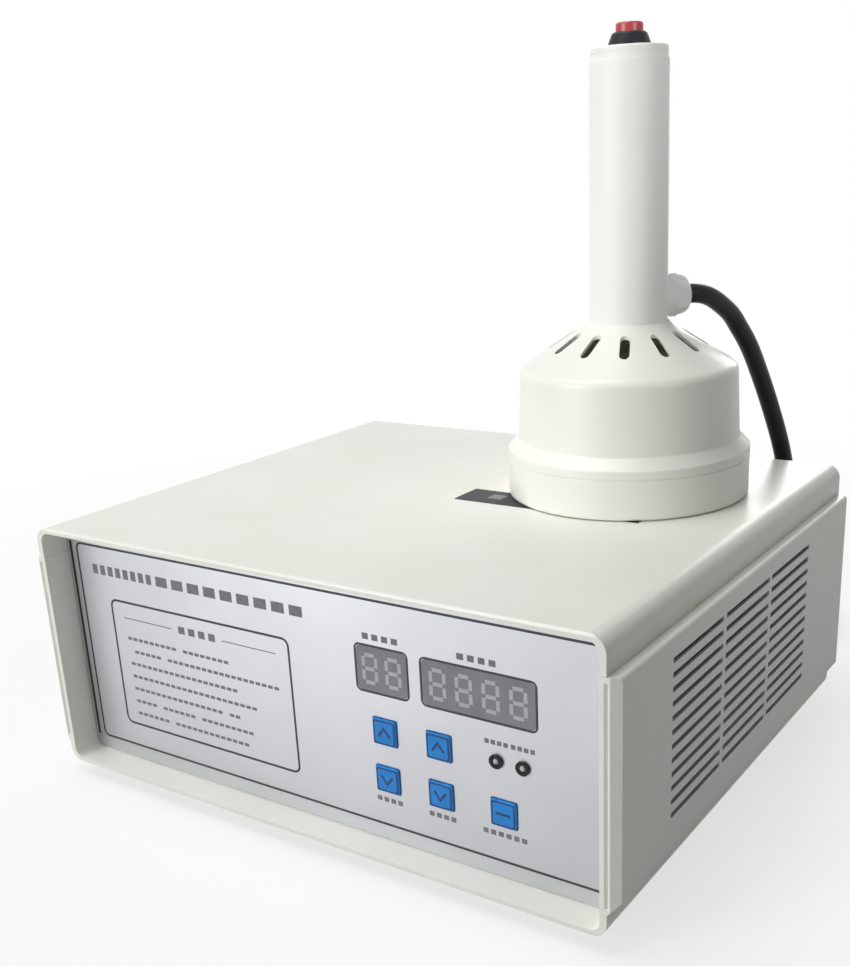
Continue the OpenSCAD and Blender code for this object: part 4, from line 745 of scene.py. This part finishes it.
def pan_screws_tree():
    """Four pan-head screws with a cross recess at the corners of a rectangle, heads towards +Z."""
    facets, crown_share = 28, 0.7
    slot_length_share, slot_width_share, slot_depth_share = 1.1, 0.24, 1.1
    tree, given = new_tree("pan_screws", {
        "Spacing X": "NodeSocketFloat", "Spacing Y": "NodeSocketFloat",
        "Head Radius": "NodeSocketFloat", "Head Height": "NodeSocketFloat",
        "Shank Radius": "NodeSocketFloat", "Shank Length": "NodeSocketFloat",
    })
    half_height = add(tree, MATH, {0: given["Head Height"], 1: 2.0}, operation="DIVIDE")
    quarter_height = add(tree, MATH, {0: half_height, 1: 2.0}, operation="DIVIDE")
    rim = add(tree, "GeometryNodeMeshCylinder", {
        "Vertices": facets, "Radius": given["Head Radius"], "Depth": half_height,
    })
    rim_up = add(tree, "GeometryNodeTransform", {
        "Geometry": rim, "Translation": add(tree, XYZ, {"Z": quarter_height}),
    })
    crown_top = add(tree, MATH, {0: given["Head Radius"], 1: crown_share}, operation="MULTIPLY")
    crown = add(tree, "GeometryNodeMeshCone", {
        "Vertices": facets, "Radius Top": crown_top, "Radius Bottom": given["Head Radius"],
        "Depth": half_height,
    })
    crown_up = add(tree, "GeometryNodeTransform", {
        "Geometry": crown, "Translation": add(tree, XYZ, {"Z": half_height}),
    })
    shank = add(tree, "GeometryNodeMeshCylinder", {
        "Vertices": facets, "Radius": given["Shank Radius"], "Depth": given["Shank Length"],
    })
    shank_mid = add(tree, MATH, {0: given["Shank Length"], 1: -2.0}, operation="DIVIDE")
    shank_down = add(tree, "GeometryNodeTransform", {
        "Geometry": shank, "Translation": add(tree, XYZ, {"Z": shank_mid}),
    })
    slot_long = add(tree, MATH, {0: given["Head Radius"], 1: slot_length_share}, operation="MULTIPLY")
    slot_wide = add(tree, MATH, {0: given["Head Radius"], 1: slot_width_share}, operation="MULTIPLY")
    slot_deep = add(tree, MATH, {0: given["Head Height"], 1: slot_depth_share}, operation="MULTIPLY")
    head = add(tree, "GeometryNodeMeshBoolean", {"Mesh 2": crown_up}, operation="UNION")
    tree.links.new(rim_up.outputs["Geometry"], head.inputs["Mesh 2"])
    recessed = add(tree, "GeometryNodeMeshBoolean", {"Mesh 1": head}, operation="DIFFERENCE")
    for long_x, long_y in ((slot_long, slot_wide), (slot_wide, slot_long)):
        cutter = add(tree, "GeometryNodeMeshCube", {
            "Size": add(tree, XYZ, {"X": long_x, "Y": long_y, "Z": slot_deep}),
        })
        raised = add(tree, "GeometryNodeTransform", {
            "Geometry": cutter, "Translation": add(tree, XYZ, {"Z": given["Head Height"]}),
        })
        tree.links.new(raised.outputs["Geometry"], recessed.inputs["Mesh 2"])
    screw = add(tree, "GeometryNodeJoinGeometry", {"Geometry": recessed})
    tree.links.new(shank_down.outputs["Geometry"], screw.inputs["Geometry"])
    corners = add(tree, "GeometryNodeMeshGrid", {
        "Size X": given["Spacing X"], "Size Y": given["Spacing Y"], "Vertices X": 2, "Vertices Y": 2,
    })
    copies = add(tree, "GeometryNodeInstanceOnPoints", {"Points": corners, "Instance": screw})
    end_tree(tree, copies, FINISHES["zinc_steel"])
    return tree


def rear_hardware():
    """Wire guard and screws of the fan."""
    steel = FINISHES["zinc_steel"]
    hole_offset, head_h, head_r, shank_r = 35.75, 2.4, 3.6, 2.05
    fan = node_centre("fan_frame")
    guard_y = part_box("fan_grille")[0][1] / MM
    guard = {
        "Rings": 4, "First Ring": 12 * MM, "Ring Pitch": 8 * MM, "Wire": 0.9 * MM, "Bar Z": 1.2 * MM,
        "Eye At": hole_offset * math.sqrt(2) * MM, "Eye": 3.1 * MM,
    }
    piece = grow("fan_guard", wire_guard_tree(), guard, facing_rear(fan.x, guard_y, fan.z), steel)
    own(piece, CASE, "zinc_steel", "fan_grille")
    screw_low, screw_high = (Vector(corner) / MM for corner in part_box("fan_screws"))
    spacing = screw_high.x - screw_low.x - 2 * head_r
    seat_y = screw_high.y - head_h
    screws = {
        "Spacing X": spacing * MM, "Spacing Y": spacing * MM,
        "Head Radius": head_r * MM, "Head Height": head_h * MM,
        "Shank Radius": shank_r * MM, "Shank Length": (seat_y - screw_low.y) * MM,
    }
    piece = grow("fan_pan_screws", pan_screws_tree(), screws, facing_rear(fan.x, seat_y, fan.z), steel)
    own(piece, CASE, "zinc_steel", "fan_screws")


def rocker_marks():
    """Off ring and on bar on the two halves of the power rocker, riding it."""
    axle = next(joint["pos_m"] for joint in frame["joints"] if joint["name"] == "rocker_tip")
    tilt, dip, tip, radius = 10, 2.4, 5.6, 8.5
    ring_r, line, bar_w, bar_h, share = 1.6, 0.5, 0.7, 3.4, 0.5
    hole_r = ring_r - line
    straight = 0.01
    off = bmesh.new()
    add_line_frame(
        off, rounded_loop(0, 0, 2 * ring_r, 2 * ring_r, ring_r - straight),
        rounded_loop(0, 0, 2 * hole_r, 2 * hole_r, hole_r - straight), -INK_T, 0,
    )
    on = bmesh.new()
    add_plate(on, rounded_loop(0, 0, bar_w, bar_h, line / 3, steps=2), -INK_T, 0)
    lean = math.atan2(tip - dip, radius)
    for name, bm, side in (("rocker_off_mark", off, 1), ("rocker_on_mark", on, -1)):
        mesh = mesh_of(name, bm)
        spot = Vector((0, dip + share * (tip - dip), side * share * radius)) * MM
        face = Matrix.Rotation(math.radians(180), 4, "Z")
        mesh.transform(
            Matrix.Translation(Vector(axle)) @ Matrix.Rotation(math.radians(tilt), 4, "X")
            @ Matrix.Translation(spot) @ Matrix.Rotation(-side * lean, 4, "X") @ face
        )
        own(make_piece(name, mesh, WHITE_INK), "rocker", "rocker_black")


def strip_patch():
    """Plain pale patch printed on the dark strip, close to the head."""
    x, y, w, h, r = 23.5, 5.5, 7.5, 7, 0.6
    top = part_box("top_strip")[1][2] / MM
    bm = bmesh.new()
    add_plate(bm, rounded_loop(0, 0, w, h, r, steps=2), -INK_T, 0)
    mesh = mesh_of("strip_patch", bm)
    face_up = Matrix.Rotation(math.radians(-90), 4, "X")
    mesh.transform(Matrix.Translation(Vector((x, y, top)) * MM) @ face_up)
    own(make_piece("strip_patch", mesh, PALE_INK), CASE, "dark_strip")


def smooth_route(points, steps):
    """Points of a Catmull-Rom curve through all the given points."""
    ends = [points[0]] + points + [points[-1]]
    route = []
    for i in range(1, len(ends) - 2):
        before, here, there, after = (Vector(p) for p in ends[i - 1:i + 3])
        for k in range(steps):
            t = k / steps
            pull = (there - before) * t
            bend = (2 * before - 5 * here + 4 * there - after) * t ** 2
            twist = (3 * here - before - 3 * there + after) * t ** 3
            route.append(0.5 * (2 * here + pull + bend + twist))
    return route + [Vector(points[-1])]


def cable_points():
    """Whole route of the head cable: from the handle, round its coil, and into the rear panel."""
    coil = []
    for i in range(round(COIL_TURNS * COIL_STEPS) + 1):
        turns = i / COIL_STEPS
        angle = 2 * math.pi * turns
        coil.append((
            COIL_CENTRE[0] + COIL_R * math.cos(angle), COIL_CENTRE[1] + COIL_R * math.sin(angle),
            COIL_FIRST_Z + CABLE_D * turns,
        ))
    return [p * MM for p in smooth_route(HEAD_END + coil + CASE_END, ROUTE_STEPS)]


def head_cable():
    """Black cable between the handle and the rear panel."""
    route = cable_points()
    curve = bpy.data.curves.new("head_cable", "CURVE")
    curve.dimensions = "3D"
    curve.bevel_depth = CABLE_D / 2 * MM
    curve.bevel_resolution = 5
    curve.use_fill_caps = True
    spline = curve.splines.new("POLY")
    spline.points.add(len(route) - 1)
    for point, place in zip(spline.points, route):
        point.co = (*place, 1)
    spline.use_smooth = True
    curve.materials.append(FINISHES["cable_rubber"])
    cable = bpy.data.objects.new("head_cable", curve)
    bpy.context.scene.collection.objects.link(cable)
    own(cable, CASE, "cable_rubber", "cable_head_end", "cable_coil", "cable_case_end")


def cable_tie():
    """Strap tie round the coil, with its locking head on the outside."""
    strap_t, strap_w, play, corner = 1.0, 8, 0.2, 4.4
    head_t, head_h, head_r, head_over = 4, 6, 0.8, 1
    head_half_w = strap_w / 2 + head_over
    low, high = (Vector(point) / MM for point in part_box("cable_tie"))
    mid_z = (low.z + high.z) / 2
    inner_w = CABLE_D + 2 * play
    inner_h = high.z - low.z - 2 * strap_t
    bm = bmesh.new()
    outer = rounded_loop(COIL_R, 0, inner_w + 2 * strap_t, inner_h + 2 * strap_t, corner + strap_t)
    inner = rounded_loop(COIL_R, 0, inner_w, inner_h, corner)
    add_line_frame(bm, outer, inner, -strap_w / 2, strap_w / 2)
    head_x = COIL_R + inner_w / 2 + strap_t
    locking_head = rounded_loop(head_x, 0, head_t, head_h, head_r, steps=3)
    add_plate(bm, locking_head, -head_half_w, head_half_w)
    mesh = mesh_of("cable_strap", bm)
    turn = Matrix.Rotation(math.radians(TIE_TURN), 4, "Z")
    mesh.transform(Matrix.Translation(Vector((*COIL_CENTRE, mid_z)) * MM) @ turn)
    own(make_piece("cable_strap", mesh, FINISHES["black_plastic"]), CASE, "black_plastic", "cable_tie")


def camera():
    """Camera at the photograph's viewpoint."""
    azimuth, elevation, roll = (math.radians(a) for a in (CAMERA_AZIMUTH, CAMERA_ELEVATION, CAMERA_ROLL))
    level_reach = math.cos(elevation)
    back = Vector((math.sin(azimuth) * level_reach, -math.cos(azimuth) * level_reach, math.sin(elevation)))
    level = Vector((0, 0, 1)).cross(back).normalized()
    upright = back.cross(level)
    right = math.cos(roll) * level + math.sin(roll) * upright
    up = math.cos(roll) * upright - math.sin(roll) * level
    data = bpy.data.cameras.new("camera")
    data.sensor_width = SENSOR_MM
    data.lens = FOCAL_PX * SENSOR_MM / PICTURE_H
    data.shift_x = (PICTURE_W / 2 - OPTICAL_AXIS_PX[0]) / PICTURE_H
    data.shift_y = (OPTICAL_AXIS_PX[1] - PICTURE_H / 2) / PICTURE_H
    view = bpy.data.objects.new("camera", data)
    turn = Matrix((right, up, back)).transposed().to_4x4()
    view.matrix_world = Matrix.Translation(Vector(CAMERA_MM) * MM) @ turn
    bpy.context.scene.collection.objects.link(view)
    bpy.context.scene.camera = view


def lamp(name, place, target, size, power, spread=180):
    """Soft square lamp aimed at a point: size in metres, power in watts, spread in degrees."""
    data = bpy.data.lights.new(name, "AREA")
    data.size = size
    data.energy = power
    data.spread = math.radians(spread)
    light = bpy.data.objects.new(name, data)
    light.location = place
    light.rotation_euler = (Vector(target) - Vector(place)).to_track_quat("-Z", "Y").to_euler()
    bpy.context.scene.collection.objects.link(light)


def seen_directly(tree):
    """1 for rays that show a surface to the camera, straight on or by way of metal or glass."""
    path = add(tree, "ShaderNodeLightPath").outputs
    mirrored = add(tree, MATH, {
        0: path["Is Glossy Ray"], 1: path["Is Transmission Ray"],
    }, operation="MAXIMUM")
    return add(tree, MATH, {0: path["Is Camera Ray"], 1: mirrored}, operation="MAXIMUM")


def floor_paint():
    """Matte floor paint: it looks white, keeps the object's shadow and fades into the background."""
    near, far, near_white = 0.22, 0.75, 0.7
    material, tree, place = start_finish("floor_paint_matte")
    shader = surface(
        tree, place, ("#F5F5F5", "#F7F7F7"), patch_mm=300, grain_mm=2, relief_mm=0.02, roughness=(0.8, 0.9),
    )
    bounce = add(tree, "ShaderNodeBsdfDiffuse", {"Color": linear("#ABABAB")})
    plain = add(tree, "ShaderNodeEmission", {"Color": (1, 1, 1, 1), "Strength": 1.0})
    reach = add(tree, "ShaderNodeVectorMath", {0: place}, operation="LENGTH").outputs["Value"]
    fade = add(tree, "ShaderNodeMapRange", {
        "Value": reach, "From Min": near, "From Max": far, "To Min": near_white, "To Max": 1.0,
    })
    shown = add(tree, "ShaderNodeMixShader", {0: fade, 1: shader, 2: plain})
    both = add(tree, "ShaderNodeMixShader", {0: seen_directly(tree), 1: bounce, 2: shown})
    add(tree, "ShaderNodeOutputMaterial", {"Surface": both})
    return material


def studio():
    """Pale floor, white surroundings, lamps overhead, in front and behind, and one on the handle."""
    floor_half, fill_strength = 3.0, 0.12
    bm = bmesh.new()
    for x, y in ((-1, -1), (1, -1), (1, 1), (-1, 1)):
        bm.verts.new((x * floor_half, y * floor_half, 0))
    bm.faces.new(bm.verts)
    make_piece("floor", mesh_of("floor", bm), floor_paint())
    world = bpy.data.worlds.new("surroundings")
    bpy.context.scene.world = world
    world.use_nodes = True
    tree = world.node_tree
    tree.nodes.clear()
    fill = add(tree, "ShaderNodeBackground", {"Color": (1, 1, 1, 1), "Strength": fill_strength})
    white = add(tree, "ShaderNodeBackground", {"Color": (1, 1, 1, 1), "Strength": 1.0})
    both = add(tree, "ShaderNodeMixShader", {0: seen_directly(tree), 1: fill, 2: white})
    add(tree, "ShaderNodeOutputWorld", {"Surface": both})
    lamp("overhead_lamp", (-0.45, -0.4, 2.2), target=(0, 0, 0.12), size=1.4, power=28.5)
    lamp("front_lamp", (-1.0, -2.0, 0.6), target=(0, -0.1, 0.12), size=0.9, power=27.5)
    lamp("rear_lamp", (-0.4, 2.1, 0.7), target=(0, 0.1, 0.1), size=0.9, power=14)
    lamp("handle_lamp", (0.95, -0.3, 0.5), target=(0.09, 0.02, 0.4), size=0.25, power=0.14, spread=33)
    bpy.context.scene.view_settings.view_transform = "Standard"


camera()
head_cable()
cable_tie()
paint_cad_nodes()
front_lines()
front_dashes()
display_digits()
key_marks()
rocker_marks()
strip_patch()
rear_hardware()
studio()
